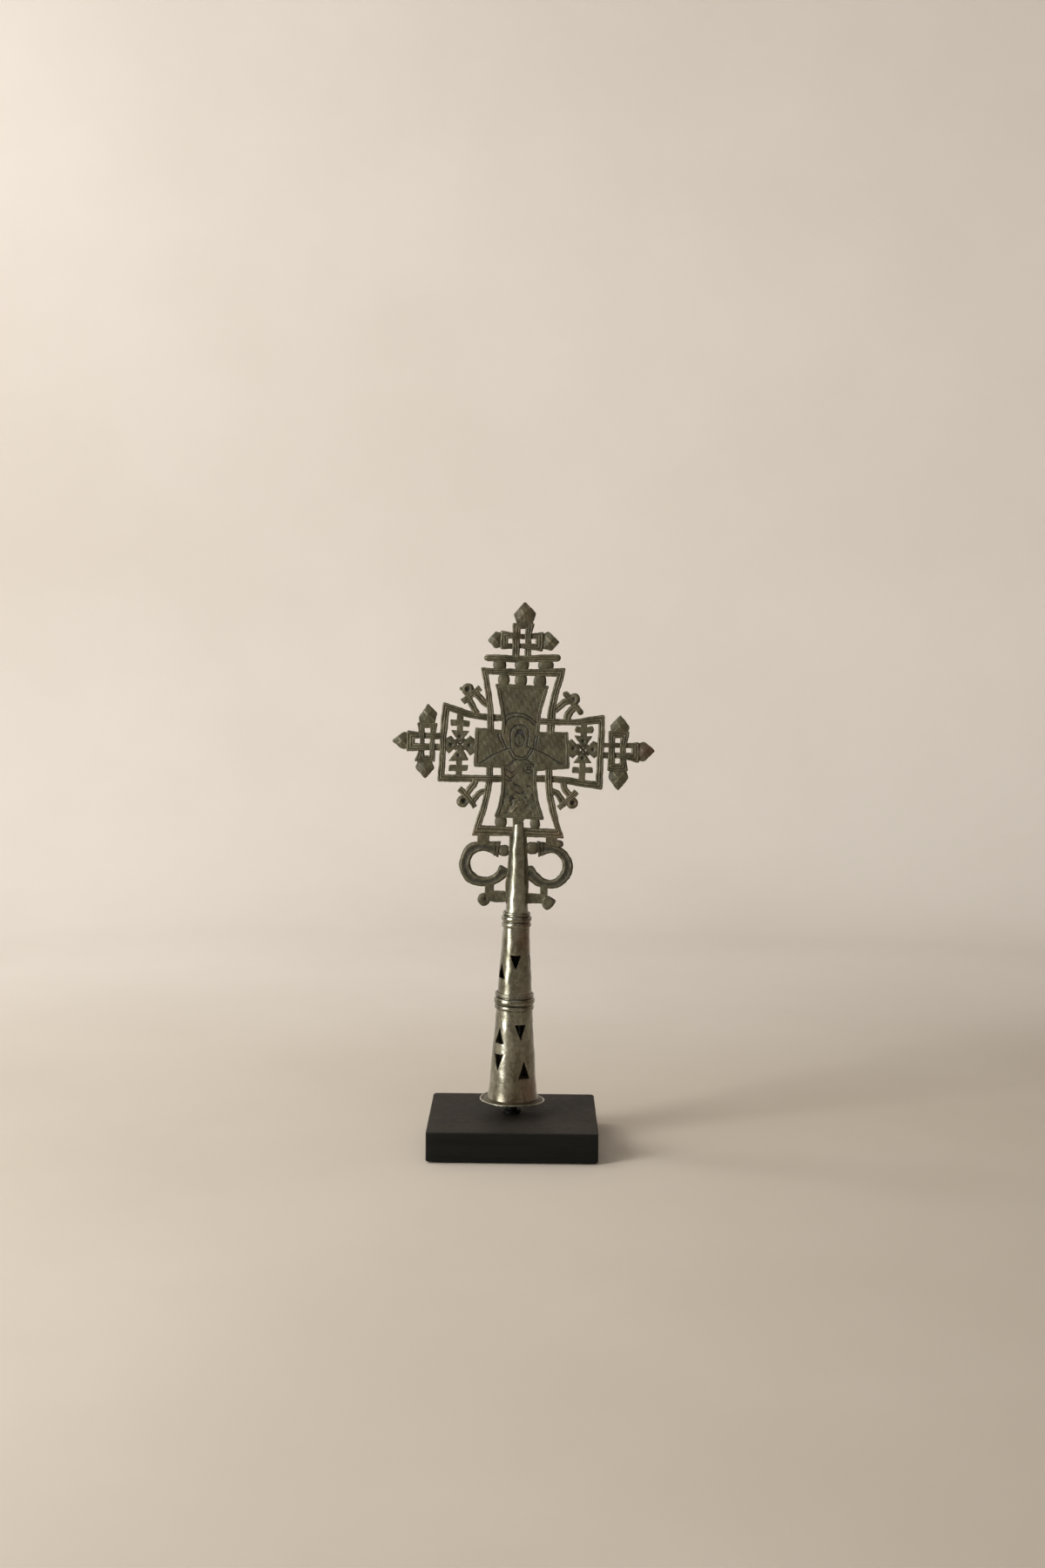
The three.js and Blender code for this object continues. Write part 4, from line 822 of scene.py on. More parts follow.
MARKS = [
    [(-10.4, -15.3), (-8.6, -16.4), (-6.2, -17.6), (-4.0, -16.7)],
    [(-6.4, -17.4), (-5.2, -18.2)],
    [(-10.6, -19.2), (-8.8, -20.4), (-6.8, -21.6), (-4.9, -20.7), (-3.6, -19.3)],
    [(-9.6, -22.6), (-7.6, -23.4), (-5.8, -23.2)],
    [(4.9, -13.6), (6.4, -13.0), (8.0, -13.7)],
    [(4.9, -15.4), (6.6, -14.9), (8.2, -15.6)],
    [(-3.6, -26.0), (-1.2, -26.9), (1.4, -28.0)],
    [(0.2, -27.2), (1.6, -28.3)],
    [(5.6, -27.4), (7.3, -26.5)],
    [(6.3, -26.6), (7.8, -27.2)],
    [(-2.2, -31.2), (0.4, -32.4), (3.0, -31.6)],
    [(-6.2, -38.2), (-4.4, -36.4), (-2.2, -36.0)],
    [(-1.8, -38.6), (0.4, -37.0), (2.6, -37.4), (3.8, -39.2)],
]
RING = (6.3, -14.4, 3.3)

# The gouge in the lower arm and the hollow beside it
GOUGE = [(-5.0, -45.6), (-1.5, -41.2)]
BESIDE_GOUGE = [(-8.0, -44.5), (-4.6, -39.6)]

# The face is a plain one of the maker's own: an oval, as (x, y, half width, half height), with hair, brows,
# eyes, nose and mouth at even shares
FACE = (-0.8, 7.0, 3.3, 6.0)
FACE_LINES = [
    [(-2.95, 9.0), (-2.2, 9.9), (-0.8, 10.25), (0.6, 9.9), (1.35, 9.0)],
    [(-2.75, 7.75), (-2.15, 8.15), (-1.5, 7.95)],
    [(-0.1, 7.95), (0.55, 8.15), (1.15, 7.75)],
    [(-0.95, 7.7), (-0.98, 5.6), (-1.25, 5.0), (-0.8, 4.75), (-0.35, 5.0)],
    [(-1.65, 3.55), (-0.8, 3.4), (0.05, 3.55)],
    [(-1.3, 2.85), (-0.8, 2.7), (-0.3, 2.85)],
]
EYES = [(-2.1, 7.0), (0.5, 7.0)]

# Groups of engraved lines with the depth and the half width of their cut
CUTS = [(HALO, 0.44, 0.40), (GARMENT, 0.44, 0.40), (MARKS, 0.36, 0.46), (FACE_LINES, 0.30, 0.20)]


def curved(points, spacing=0.6):
    """Smooth curve through three points or more; two points stay a straight line."""
    points = np.asarray(points, float)
    if len(points) < 3:
        return points
    length = np.linalg.norm(np.diff(points, axis=0), axis=1).sum()
    return through(points, max(4, int(length / spacing)))


def engraving(x, y):
    """Depth of the engraving: the largest depth * exp(-(distance / half width)^2) over all lines."""
    cut = np.zeros(len(x))
    for lines, depth, width in CUTS:
        for line in lines:
            near = np.exp(-(line_distance(x, y, curved(line)) / width) ** 2)
            cut = np.maximum(cut, depth * near)
    around = np.abs(np.hypot(x - RING[0], y - RING[1]) - RING[2])
    cut = np.maximum(cut, 0.34 * np.exp(-(around / 0.36) ** 2))
    oval = np.hypot((x - FACE[0]) / FACE[2], (y - FACE[1]) / FACE[3])
    cut = np.maximum(cut, 0.40 * np.exp(-((oval - 1) * FACE[2] / 0.30) ** 2))
    hair = (oval < 1) * np.clip((y - FACE[1] - 2.2 + 0.28 * (x - FACE[0]) ** 2) / 0.5, 0, 1)
    cut = np.maximum(cut, hair * (0.34 + 0.07 * np.sin(9 * (x - FACE[0]) + 2 * y)))
    for eye_x, eye_y in EYES:
        lens = np.hypot((x - eye_x) / 0.62, (y - eye_y) / 0.30)
        cut = np.maximum(cut, 0.24 * np.exp(-((lens - 1) / 0.35) ** 2))
        cut = np.maximum(cut, 0.24 * np.exp(-(lens / 0.32) ** 2))
    return cut


def panel_relief(x, y):
    """Hand-smoothed face of the panel: engraving cut in, shallow hollows, a soft swell of the lower arm."""
    low = np.clip((-12 - y) / 20, 0, 1)
    hollows = 0.06 * uneven(x, y, 5.0, 11) + 0.035 * uneven(x, y, 1.7, 12)
    lumps = low * (0.20 * uneven(x, y, 2.9, 13) + 0.10 * uneven(x, y, 1.3, 14))
    cut = engraving(x, y)
    gloss = np.exp(-(line_distance(x, y, GOUGE) / 0.75) ** 2)
    beside = 0.5 * np.exp(-(line_distance(x, y, BESIDE_GOUGE) / 1.1) ** 2)
    height = hollows + lumps - cut + 0.45 * gloss - beside
    stain = low * np.clip(uneven(x, y, 2.2, 15) - 0.25, 0, 1) * 0.55
    # Low values in the engraved cuts and the hollow beside the gouge: dark patina and painted shade in them
    wear_and_shade = np.clip(0.50 - 1.6 * cut - 0.35 * beside - stain + 1.2 * lumps, 0, 1) + 0.5 * gloss
    return height, wear_and_shade


def fine_axis(low, high, fine_low, fine_high, coarse, fine):
    """Grid values with small steps between fine_low and fine_high and larger ones outside."""
    spans = ((low, fine_low, coarse), (fine_low, fine_high, fine), (fine_high, high, coarse))
    return np.concatenate([np.arange(*span) for span in spans])


def inset_border():
    """Border strip: each outline point moved in by the width along the mean of the two edge normals,
    mitred."""
    runs = []
    corners = [np.asarray(side, float) for side in PANEL_SIDES]
    for k, side in enumerate(corners):
        before, after = corners[k - 1], corners[(k + 1) % len(corners)]
        line = curved(side, 1.0)
        if len(line) < 3:
            line = np.linspace(line[0], line[-1], 8)
        along = np.gradient(line, axis=0)
        along /= np.linalg.norm(along, axis=1)[:, None]
        inward = np.stack([along[:, 1], -along[:, 0]], 1)
        inner = line + inward * BORDER_WIDTH
        for end, neighbour in ((0, before), (-1, after)):
            way = neighbour[-1] - neighbour[-2] if end == 0 else neighbour[1] - neighbour[0]
            way = way / np.linalg.norm(way)
            normal = np.array([way[1], -way[0]])
            both = inward[end] + normal
            inner[end] = line[end] + both * BORDER_WIDTH / (1 + inward[end] @ normal)
        for end, step in ((0, 1), (-1, -1)):
            for n in (1, 2):
                here, share = end + step * n, n / 3
                inner[here] = inner[here] * share + (line[here] + inner[end] - line[end]) * (1 - share)
        runs.append(np.column_stack([line, inner, np.zeros(len(line))]))
    return runs


PANEL_GRID, FACE_GRID = 0.33, 0.18
PANEL_INSET = 0.7
outline = np.concatenate([curved(side, 1.2)[:-1] for side in PANEL_SIDES])
grid_x = fine_axis(-35, 36, -5.2, 3.6, PANEL_GRID, FACE_GRID)
grid_y = fine_axis(-52, 46.5, 0.2, 14.2, PANEL_GRID, FACE_GRID)
panel_grid = trimmed(grid_x, grid_y, lambda a, b: outline_distance(a, b, outline) - PANEL_INSET)
add_cast("engraved_panel", [raised(panel_grid, outline, PANEL_DEPTH, panel_relief, 0.55)])
border_stations = stations_of(inset_border(), 0.7, True, (1, 0))
add_cast("panel_border", [swept(border_stations, ridged(2, 0.80, 0.10, 0.3, 0.66), BORDER_DEPTH, True)])

# Head: the trefoils. Each has a loop across its arm and a loop along it that ends in the frame. The numbers
# are edges of the loops: inner sides, outer sides at the waist, and outer corners at both ends.
TREFOIL_SECTION = ridged(3, 0.72, 0.10, 0.45, 0.74)


def loop_round(inner, waist, ends, crossings, lifts):
    """Closed upright loop, from the upper left corner round by the right. Inner and waist are (left, right),
    ends are (y, left, right, inner y) above and below, crossings are (upper, lower) and lifts follow the way
    round."""
    (in_left, in_right), (left, right) = inner, waist
    (top, top_left, top_right, in_top), (foot, foot_left, foot_right, in_foot) = ends
    upper, lower = crossings
    return [
        [(top_left, top, in_left, in_top, 0), (top_right, top, in_right, in_top, 0)],
        [(top_right, top, in_right, in_top, 0), (right, upper, in_right, upper, lifts[0]),
         (right, lower, in_right, lower, lifts[1]), (foot_right, foot, in_right, in_foot, 0)],
        [(foot_right, foot, in_right, in_foot, 0), (foot_left, foot, in_left, in_foot, 0)],
        [(foot_left, foot, in_left, in_foot, 0), (left, lower, in_left, lower, lifts[2]),
         (left, upper, in_left, upper, lifts[3]), (top_left, top, in_left, in_top, 0)],
    ]


def loop_open(inner, waist, end, crossings, lifts, root):
    """Loop that lies along x and opens at its root: end is (x, low y, high y, inner x), crossings are
    (far, near)."""
    (in_low, in_high), (low, high) = inner, waist
    tip, tip_low, tip_high, in_tip = end
    far, near = crossings
    return [
        [(root, high, root, in_high, 0), (near, high, near, in_high, lifts[0]),
         (far, high, far, in_high, lifts[1]), (tip, tip_high, in_tip, in_high, 0)],
        [(tip, tip_high, in_tip, in_high, 0), (tip, tip_low, in_tip, in_low, 0)],
        [(tip, tip_low, in_tip, in_low, 0), (far, low, far, in_low, lifts[2]),
         (near, low, near, in_low, lifts[3]), (root, low, root, in_low, 0)],
    ]


def turned_runs(runs):
    """Exchanges x and y of every point, which lays an upright loop down."""
    return [[(oy, ox, iy, ix, lift) for ox, oy, ix, iy, lift in run] for run in runs]


TIP_RISE, TIP_CROSS, TIP_RIDGE = 1.5, 0.5, 0.12


def faceted_tip(points):
    """Lug whose face rises to a middle line from each side: with p and q the shares along its two diagonals
    the height falls with max(p, q) and with p + q, so that ridges run to the middles of the sides."""
    points = np.asarray(points, float)
    _, left, tip, right, _ = points
    middle = (left + right) / 2 + (tip - (left + right) / 2) * 0.05
    length_axis, width_axis = tip - middle, (right - left) / 2

    def relief(x, y):
        dx, dy = x - middle[0], y - middle[1]
        p = np.abs(dx * length_axis[0] + dy * length_axis[1]) / (length_axis @ length_axis)
        q = np.abs(dx * width_axis[0] + dy * width_axis[1]) / (width_axis @ width_axis)
        fall = TIP_CROSS * (p + q) + (1 - TIP_CROSS) * 1.7 * np.maximum(p, q)
        ridge = np.exp(-(np.abs(p - q) / 0.10) ** 2) * (p + q < 1.05)
        # The ridge lines get high values: rubbed, brighter bronze and a painted highlight along them; the
        # facets a little darker
        return TIP_RISE * (1 - np.clip(fall, 0, 1.25)) + TIP_RIDGE * ridge, 0.36 + 0.45 * ridge

    return plate(points, 2.8, relief, 0.36, 0.4, 5)


TREFOILS = {
    "left": {
        "across": loop_round((-68.2, -64.5), (-71.9, -60.8),
                             ((16.3, -73.9, -58.9, 12.5), (-11.5, -75.4, -60.2, -7.2)),
                             (7.0, -1.0), (UNDER, OVER, UNDER, OVER)),
        "along": loop_open((1.5, 4.7), (-3.5, 9.2), (-80.9, -4.6, 10.6, -75.2), (-70.0, -62.7),
                           (OVER, UNDER, OVER, UNDER), -56.0),
        "tips": [
            [(-79.0, -2.6), (-84.4, -3.1), (-91.6, 3.1), (-83.1, 9.4), (-79.0, 8.4)],
            [(-71.6, 14.0), (-72.8, 20.0), (-66.5, 29.9), (-59.5, 23.4), (-61.8, 14.0)],
            [(-63.0, -9.6), (-60.8, -16.2), (-67.4, -23.7), (-74.4, -15.9), (-72.3, -9.6)],
        ],
    },
    "right": {
        "across": loop_round((66.8, 70.2), (61.9, 74.8),
                             ((13.9, 61.7, 76.9, 8.6), (-14.8, 61.6, 76.5, -9.3)),
                             (3.5, -3.7), (OVER, UNDER, OVER, UNDER)),
        "along": loop_open((-1.5, 1.8), (-5.9, 5.2), (84.1, -8.7, 6.2, 78.3), (72.5, 64.4),
                           (OVER, UNDER, OVER, UNDER), 56.0),
        "tips": [
            [(82.0, 5.0), (87.4, 6.7), (95.2, 0.5), (87.8, -7.6), (82.0, -6.6)],
            [(63.6, 12.0), (62.8, 17.3), (69.9, 25.4), (76.8, 16.7), (75.2, 12.0)],
            [(74.8, -12.8), (77.0, -19.5), (69.6, -28.9), (62.4, -19.9), (63.8, -12.8)],
        ],
    },
    "top": {
        "across": turned_runs(loop_round(
            (73.8, 76.9), (69.9, 80.7), ((14.1, 68.2, 82.5, 8.5), (-16.3, 69.2, 83.0, -10.8)), (3.2, -5.0),
            (UNDER, OVER, UNDER, OVER))),
        "along": turned_runs(loop_open(
            (-2.3, 0.9), (-7.8, 5.7), (88.2, -7.9, 7.8, 83.9), (78.8, 71.9),
            (UNDER, OVER, UNDER, OVER), 64.8)),
        "tips": [
            [(-4.2, 86.2), (-7.8, 93.9), (0.5, 103.3), (8.5, 95.2), (5.9, 86.2)],
            [(-14.4, 71.0), (-19.8, 69.7), (-25.4, 75.3), (-19.7, 82.0), (-14.4, 80.9)],
            [(12.6, 80.6), (17.3, 82.8), (25.9, 75.4), (19.8, 68.9), (12.6, 70.8)],
        ],
    },
}
for side, spec in TREFOILS.items():
    loops = [swept(stations_of(spec[way], 0.5, closed), TREFOIL_SECTION, TREFOIL_DEPTH, closed)
             for way, closed in (("across", True), ("along", False))]
    add_cast(f"woven_trefoil_{side}", loops)
    add_cast(f"faceted_tips_{side}", [faceted_tip(tip) for tip in spec["tips"]], 50)

# Head: the bar over the upper bracket, and the beads that carry it and the panel, as (x, y, width, height)
BAR_RUN = [(-25.0, 65.6, -25.0, 60.6, 0), (-12.5, 65.4, -12.5, 60.4, 0), (0, 65.3, 0, 60.3, 0),
           (12.9, 66.2, 12.9, 61.1, 0), (24.2, 66.8, 24.2, 61.6, 0)]
BEADS = [
    (-16.3, 58.4, 9.6, 8.0), (-0.7, 58.4, 10.6, 8.0), (16.2, 59.0, 11.2, 8.2),
    (-13.1, 48.0, 8.6, 9.0), (-1.1, 47.8, 9.0, 9.4), (12.4, 47.7, 9.2, 9.4),
    (-12.9, -53.0, 8.6, 9.2), (11.5, -53.7, 7.4, 8.6),
]
bar = swept(stations_of([BAR_RUN], 0.6), ridged(3, 0.62, 0.14, 0.35), 4.6, round_ends=True)
add_cast("ridged_bar", [bar])
add_cast("cast_beads", [bead(*numbers, square=0.82) for numbers in BEADS])

# Head: the saltires, each four arms about the middle, a small bar and its stem above and below
PIT_DEPTH, PIT_RADIUS = 0.85, 1.15


def pitted(pit):
    """Relief with a round pit: -depth * exp(-(distance / radius)^4), with dark patina and painted
    shade inside.
    """
    def relief(x, y):
        dip = np.exp(-(np.hypot(x - pit[0], y - pit[1]) / PIT_RADIUS) ** 4)
        return -PIT_DEPTH * dip, PLAIN_WEAR * (1 - 0.9 * dip)
    return relief


def band(start, end, width=1.7, bow=0.0, depth=4.6):
    """Straight thin band between two points, two ridges wide, lifted by the bow at its middle."""
    start, end = np.asarray(start, float), np.asarray(end, float)
    along = (end - start) / np.linalg.norm(end - start)
    side = np.array([-along[1], along[0]]) * width / 2
    middle = (start + end) / 2
    rows = [(*(place + side), *(place - side), lift) for place, lift in ((start, 0), (middle, bow), (end, 0))]
    return swept(stations_of([rows], 0.5), ridged(2, 0.6, 0.1, 0.3), depth)


SALTIRES = {
    "left": {
        "arms": [
            [(-49.9, 11.4), (-36.3, 11.1), (-42.3, 3.2), (-44.0, 3.3)],
            [(-51.2, -10.9), (-36.6, -9.6), (-42.2, -0.3), (-43.9, -0.4)],
            [(-49.6, 7.6), (-52.9, 5.7), (-53.4, -2.9), (-50.6, -5.4), (-45.0, 0.2), (-45.0, 2.4)],
            [(-36.2, 7.8), (-32.6, 5.2), (-32.3, -4.0), (-35.6, -6.7), (-41.2, 0.1), (-41.2, 2.4)],
        ],
        "pits": [(-43.3, 7.3), (-43.9, -6.2), (-49.2, 1.2), (-36.4, 0.9)],
        "bands": [((-46.4, 5.0), (-39.8, -2.4)), ((-46.6, -2.4), (-39.6, 5.2))],
        "bars": [[(-50.3, 19.0), (-36.7, 18.3), (-36.6, 13.9), (-50.3, 14.5)],
                 [(-50.5, -13.3), (-36.9, -13.0), (-37.7, -17.4), (-51.0, -17.7)]],
        "stems": [[(-45.6, 23.0), (-41.0, 22.6), (-41.2, 8.0), (-45.6, 8.0)],
                  [(-45.6, -8.0), (-41.4, -8.0), (-41.2, -22.0), (-45.6, -22.0)]],
    },
    "right": {
        "arms": [
            [(37.4, 9.9), (50.6, 9.4), (45.0, 1.4), (43.2, 1.4)],
            [(37.0, -9.8), (50.6, -9.4), (45.0, -2.2), (43.2, -2.2)],
            [(33.0, 5.4), (36.1, 7.4), (42.0, 0.6), (42.0, -1.6), (37.0, -6.5), (33.1, -4.0)],
            [(54.5, 4.8), (51.1, 6.4), (46.2, 0.6), (46.2, -1.6), (52.0, -6.1), (54.8, -4.0)],
        ],
        "pits": [(44.0, 6.0), (44.0, -6.1), (37.3, 0.6), (51.0, 0.1)],
        "bands": [((40.2, 3.6), (48.0, -4.2)), ((40.3, -4.4), (47.9, 3.4))],
        "bars": [[(38.9, 16.4), (43.0, 15.6), (46.0, 15.8), (50.6, 16.8), (51.8, 14.2), (50.6, 11.6),
                  (38.7, 11.8), (37.4, 14.0)],
                 [(36.9, -12.2), (42.5, -12.9), (46.5, -12.6), (51.2, -12.4), (51.5, -16.6),
                  (36.6, -16.9)]],
        "stems": [[(41.8, 20.0), (46.6, 20.0), (46.4, 7.5), (42.0, 7.5)],
                  [(41.6, -7.5), (46.4, -7.5), (46.2, -22.5), (41.2, -22.5)]],
    },
}
for side, spec in SALTIRES.items():
    shells = [plate(arm, 3.9, pitted(pit), 0.34) for arm, pit in zip(spec["arms"], spec["pits"])]
    shells += [plate(flat, 3.7, None, 0.45) for flat in spec["bars"] + spec["stems"]]
    shells += [band(*ends, bow=bow) for ends, bow in zip(spec["bands"], (0.25, -0.25))]
    add_cast(f"pitted_saltire_{side}", shells)


# Head: the knots outside the crossings: two bent legs, a ridged bar and a pitted boss
def bent(points, width, end_width, depth=4.2, count=2, round_ends=False):
    """Bent leg of tapering width: the middle line is a smooth curve, its edges lie half the width aside."""
    line = curved(points, 0.5)
    along = np.gradient(line, axis=0)
    along /= np.linalg.norm(along, axis=1)[:, None]
    half = np.linspace(width, end_width, len(line))[:, None] / 2
    side = np.stack([-along[:, 1], along[:, 0]], 1) * half
    rows = np.column_stack([line + side, line - side, np.zeros(len(line))])
    return swept(rows, ridged(count, 0.68, 0.12, 0.35), depth, round_ends=round_ends)


BOSS_SIDES, BOSS_RINGS = 40, 14
BOSS_WEAR, PIT_SHADE = 0.65, 0.6


def boss(x, y, radius, pit, pit_size=0.42, pit_depth=1.3, depth=5.2):
    """Round boss, height sqrt(1 - r^4), with a round pit at an offset from its middle."""
    turn = all_round(BOSS_SIDES)[None, :]
    ring = np.sin(np.linspace(0, math.pi / 2, BOSS_RINGS)[1:])[:, None]
    px, py = ring * np.cos(turn), ring * np.sin(turn)
    dip = np.exp(-(np.hypot(px - pit[0], py - pit[1]) / pit_size) ** 4)
    rise = np.sqrt(np.clip(1 - ring ** 4, 0, 1)) + 0 * turn
    front = np.stack([x + px * radius, -(rise * depth / 2 - dip * pit_depth), y + py * radius], -1)
    back = np.stack([x + px * radius, rise * depth / 2, y + py * radius], -1)[:-1][::-1]
    middle_dip = float(np.exp(-(np.hypot(*pit) / pit_size) ** 4))
    poles = [[x, -(depth / 2 - middle_dip * pit_depth), y], [x, depth / 2, y]]
    wear_and_shade = np.concatenate([BOSS_WEAR - PIT_SHADE * dip, PLAIN_WEAR + 0 * dip[:-1]]).ravel()
    wear_and_shade = np.r_[wear_and_shade, BOSS_WEAR - PIT_SHADE * middle_dip, PLAIN_WEAR]
    return capped(np.concatenate([front, back]), poles, wear_and_shade)


KNOTS = {
    "upper_left": [
        boss(-38.4, 40.3, 4.5, (0.05, 0.05)),
        bent([(-42.0, 31.6), (-35.6, 36.6), (-29.6, 42.0)], 4.9, 4.3, 4.8, 3),
        bent([(-38.0, 34.2), (-35.4, 30.0), (-33.4, 26.6), (-31.4, 23.4)], 5.0, 4.4),
        bent([(-33.0, 38.4), (-29.6, 34.6), (-26.6, 31.6), (-23.6, 29.8)], 4.9, 4.5),
        bead(-43.2, 40.8, 2.6, 2.6, 3.2),
    ],
    "upper_right": [
        boss(37.1, 35.4, 4.2, (-0.18, -0.05), 0.40, 0.8),
        bent([(30.9, 38.8), (35.6, 33.0), (41.6, 26.4)], 4.5, 4.3, 4.8, 3, True),
        bent([(33.4, 34.8), (29.8, 32.8), (26.6, 29.8), (23.4, 27.0)], 5.2, 4.6),
        bent([(37.6, 30.6), (34.6, 27.0), (32.6, 23.6), (32.4, 20.6)], 5.0, 5.8),
    ],
    "lower_left": [
        boss(-40.4, -39.1, 4.4, (0.30, 0.12), 0.46, 1.9),
        bent([(-43.0, -30.0), (-38.0, -34.4), (-31.4, -43.0)], 4.6, 3.6, 4.8, 2),
        bent([(-37.4, -33.6), (-35.0, -29.6), (-32.6, -26.4), (-31.8, -23.0)], 4.6, 5.2),
        bent([(-33.0, -38.6), (-30.6, -35.2), (-28.6, -32.8), (-25.6, -31.6), (-23.0, -32.6)], 4.4, 4.0),
    ],
    "lower_right": [
        boss(37.5, -38.2, 4.3, (0.16, 0.08), 0.42, 1.8),
        bent([(40.4, -30.2), (34.8, -35.8), (28.0, -42.2)], 4.6, 3.8, 4.8, 3),
        bent([(36.8, -34.0), (33.8, -31.0), (31.6, -27.6), (30.6, -22.6)], 4.6, 5.0),
        bent([(31.0, -39.0), (28.8, -34.8), (26.6, -31.6), (22.6, -30.2)], 4.8, 4.4),
    ],
}
for place, shells in KNOTS.items():
    add_cast(f"knot_{place}", shells)

# Head: the open loops beside the stem, as matched outer and inner edges from the blunt head to the tail
LOOPS = {
    "left": [
        (-12.6, -66.9, -14.2, -78.8, 0), (-20.6, -67.2, -18.4, -76.1, 0), (-28.0, -67.4, -23.0, -74.4, 0),
        (-33.2, -68.1, -27.2, -74.6, 0), (-37.3, -71.1, -30.6, -76.2, 0), (-40.6, -77.3, -32.8, -79.2, 0),
        (-42.0, -84.0, -33.6, -83.4, 0), (-40.3, -90.6, -32.6, -87.6, 0), (-36.7, -96.0, -29.8, -90.6, 0),
        (-31.3, -98.8, -26.4, -92.2, 0), (-24.4, -99.6, -21.8, -92.5, 0), (-17.2, -98.4, -17.8, -91.0, 0),
        (-12.0, -95.8, -14.4, -87.8, 0), (-9.4, -93.8, -12.7, -83.9, 0), (-6.6, -91.6, -7.4, -86.2, 0),
    ],
    "right": [
        (13.0, -66.1, 14.4, -77.6, 0), (20.0, -67.2, 18.8, -75.8, 0), (27.4, -69.2, 23.6, -74.5, 0),
        (33.3, -72.2, 27.8, -75.9, 0), (37.0, -76.4, 30.6, -78.9, 0), (39.2, -82.6, 31.7, -82.8, 0),
        (38.6, -88.6, 31.2, -86.8, 0), (35.2, -94.6, 28.9, -90.6, 0), (30.4, -98.5, 25.8, -92.9, 0),
        (24.8, -100.0, 22.4, -93.5, 0), (18.4, -99.8, 18.6, -92.4, 0), (12.8, -97.8, 14.2, -88.6, 0),
        (9.2, -95.4, 10.2, -83.8, 0), (6.4, -93.2, 6.6, -84.4, 0),
    ],
}
FITTINGS = {
    "left": [
        plate([(-29.4, -62.0), (-20.5, -62.0), (-20.7, -69.0), (-29.2, -69.0)], 3.9),
        plate([(-23.0, -97.6), (-16.6, -97.6), (-16.6, -105.0), (-23.0, -105.0)], 3.8),
        plate([(-22.4, -102.4), (-7.2, -102.7), (-7.2, -110.2), (-14.0, -110.6), (-21.0, -109.9),
               (-22.4, -107.0)], 3.9),
        boss(-23.6, -108.9, 4.7, (0.35, 0.1), 0.38, 1.0, 5.0),
        bead(-10.2, -73.5, 8.4, 8.2, 4.4, 0.72),
    ],
    "right": [
        plate([(19.2, -62.0), (27.6, -62.0), (27.2, -69.6), (19.4, -68.6)], 3.9),
        bead(28.8, -67.6, 6.4, 5.4, 4.2),
        plate([(16.2, -97.6), (21.6, -97.6), (21.8, -105.0), (16.2, -105.0)], 3.8),
        plate([(7.2, -103.7), (20.8, -104.4), (21.0, -110.9), (14.0, -110.6), (7.2, -111.0)], 3.9),
        plate([(19.0, -104.6), (23.2, -105.4), (27.9, -108.3), (26.6, -111.6), (24.0, -114.6),
               (21.0, -115.5), (18.2, -113.8), (17.4, -109.4)], 4.9, None, 0.4, 1.6, 6),
        bead(10.0, -71.2, 9.2, 8.8, 4.4, 0.75),
    ],
}
CUFF_SHARES = (0.22, 0.62)
for side, rows in LOOPS.items():
    loop = swept(stations_of([rows], 0.5, False, (0, 0)), channelled(), 4.8)
    near, far = np.array(rows[0][:4]), np.array(rows[1][:4])
    edges = [near + (far - near) * share for share in CUFF_SHARES]
    cuffs = [band(edge[:2], edge[2:], 0.9, 0.0, 5.1) for edge in edges]
    add_cast(f"open_loop_{side}", [loop, *cuffs, *FITTINGS[side]])

# Head: neck, flat stem and tang
NECK = [(-4.6, -47.5), (-4.6, -58.5), (-6.4, -58.5), (-6.6, -66), (-7.0, -81), (-8.6, -97), (-7.9, -112.0),
        (-5.2, -112.0), (-5.2, -125.3), (5.2, -125.3), (5.2, -112.0), (8.1, -112.0), (8.1, -97), (7.0, -81),
        (6.2, -66), (6.2, -58.5), (3.0, -58.5), (2.8, -52.4), (4.8, -50.0), (4.8, -47.5)]
add_cast("neck_and_stem", [plate(NECK, STEM_DEPTH, None, 0.5)])


# Shaft: tubes, collars, flange. Spots of redder metal on it, as (place, radius, strength) in metres
WARM_SHAFT = [
    (to_world(14.0, -9.0, 20.0), 0.012, 1.0), (to_world(12.0, -7.0, 45.0), 0.010, 0.55),
    (to_world(9.5, -6.0, 126.0), 0.010, 0.9), (to_world(8.0, -6.0, 139.0), 0.006, 1.0),
    (to_world(11.0, -6.0, 84.0), 0.008, 0.8), (to_world(0.0, -22.0, 10.0), 0.012, 0.6),
]


def add_turned(name, whole, material, body, nodes, crease=40, spots=WARM_SHAFT):
    """A piece drawn round the rod's axis, brought to world metres."""
    whole["points"] = to_world(*whole["points"].T)
    piece = add_piece(name, whole, material, body, nodes, crease, spots)


def ring_points(radius, turn, height):
    """Round points: the front is turn 0 and positive turns go to the right."""
    return np.stack(np.broadcast_arrays(radius * np.sin(turn), -radius * np.cos(turn), height), -1)


# Dents of the sheet, as (waves round, rate along, phase, share)
SHAFT_WAVES = [(1, 0.08, 0.4, 0.10), (2, 0.21, 2.0, 0.10), (3, -0.33, 4.4, 0.06), (5, 0.55, 1.1, 0.035)]
SEAM_STEP, SEAM_REACH, SEAM_SHARPNESS = 0.22, 0.5, 60
LIP_REACH, HOLE_REACH, HOLE_DROP = 0.8, 0.35, 0.12
INSIDE_SHADE = 0.15


def dents(turn, height):
    """Out-of-round and dents: the sum of share * sin(n turn + rate height + phase)."""
    return sum(share * np.sin(n * turn + rate * height + phase) for n, rate, phase, share in SHAFT_WAVES)


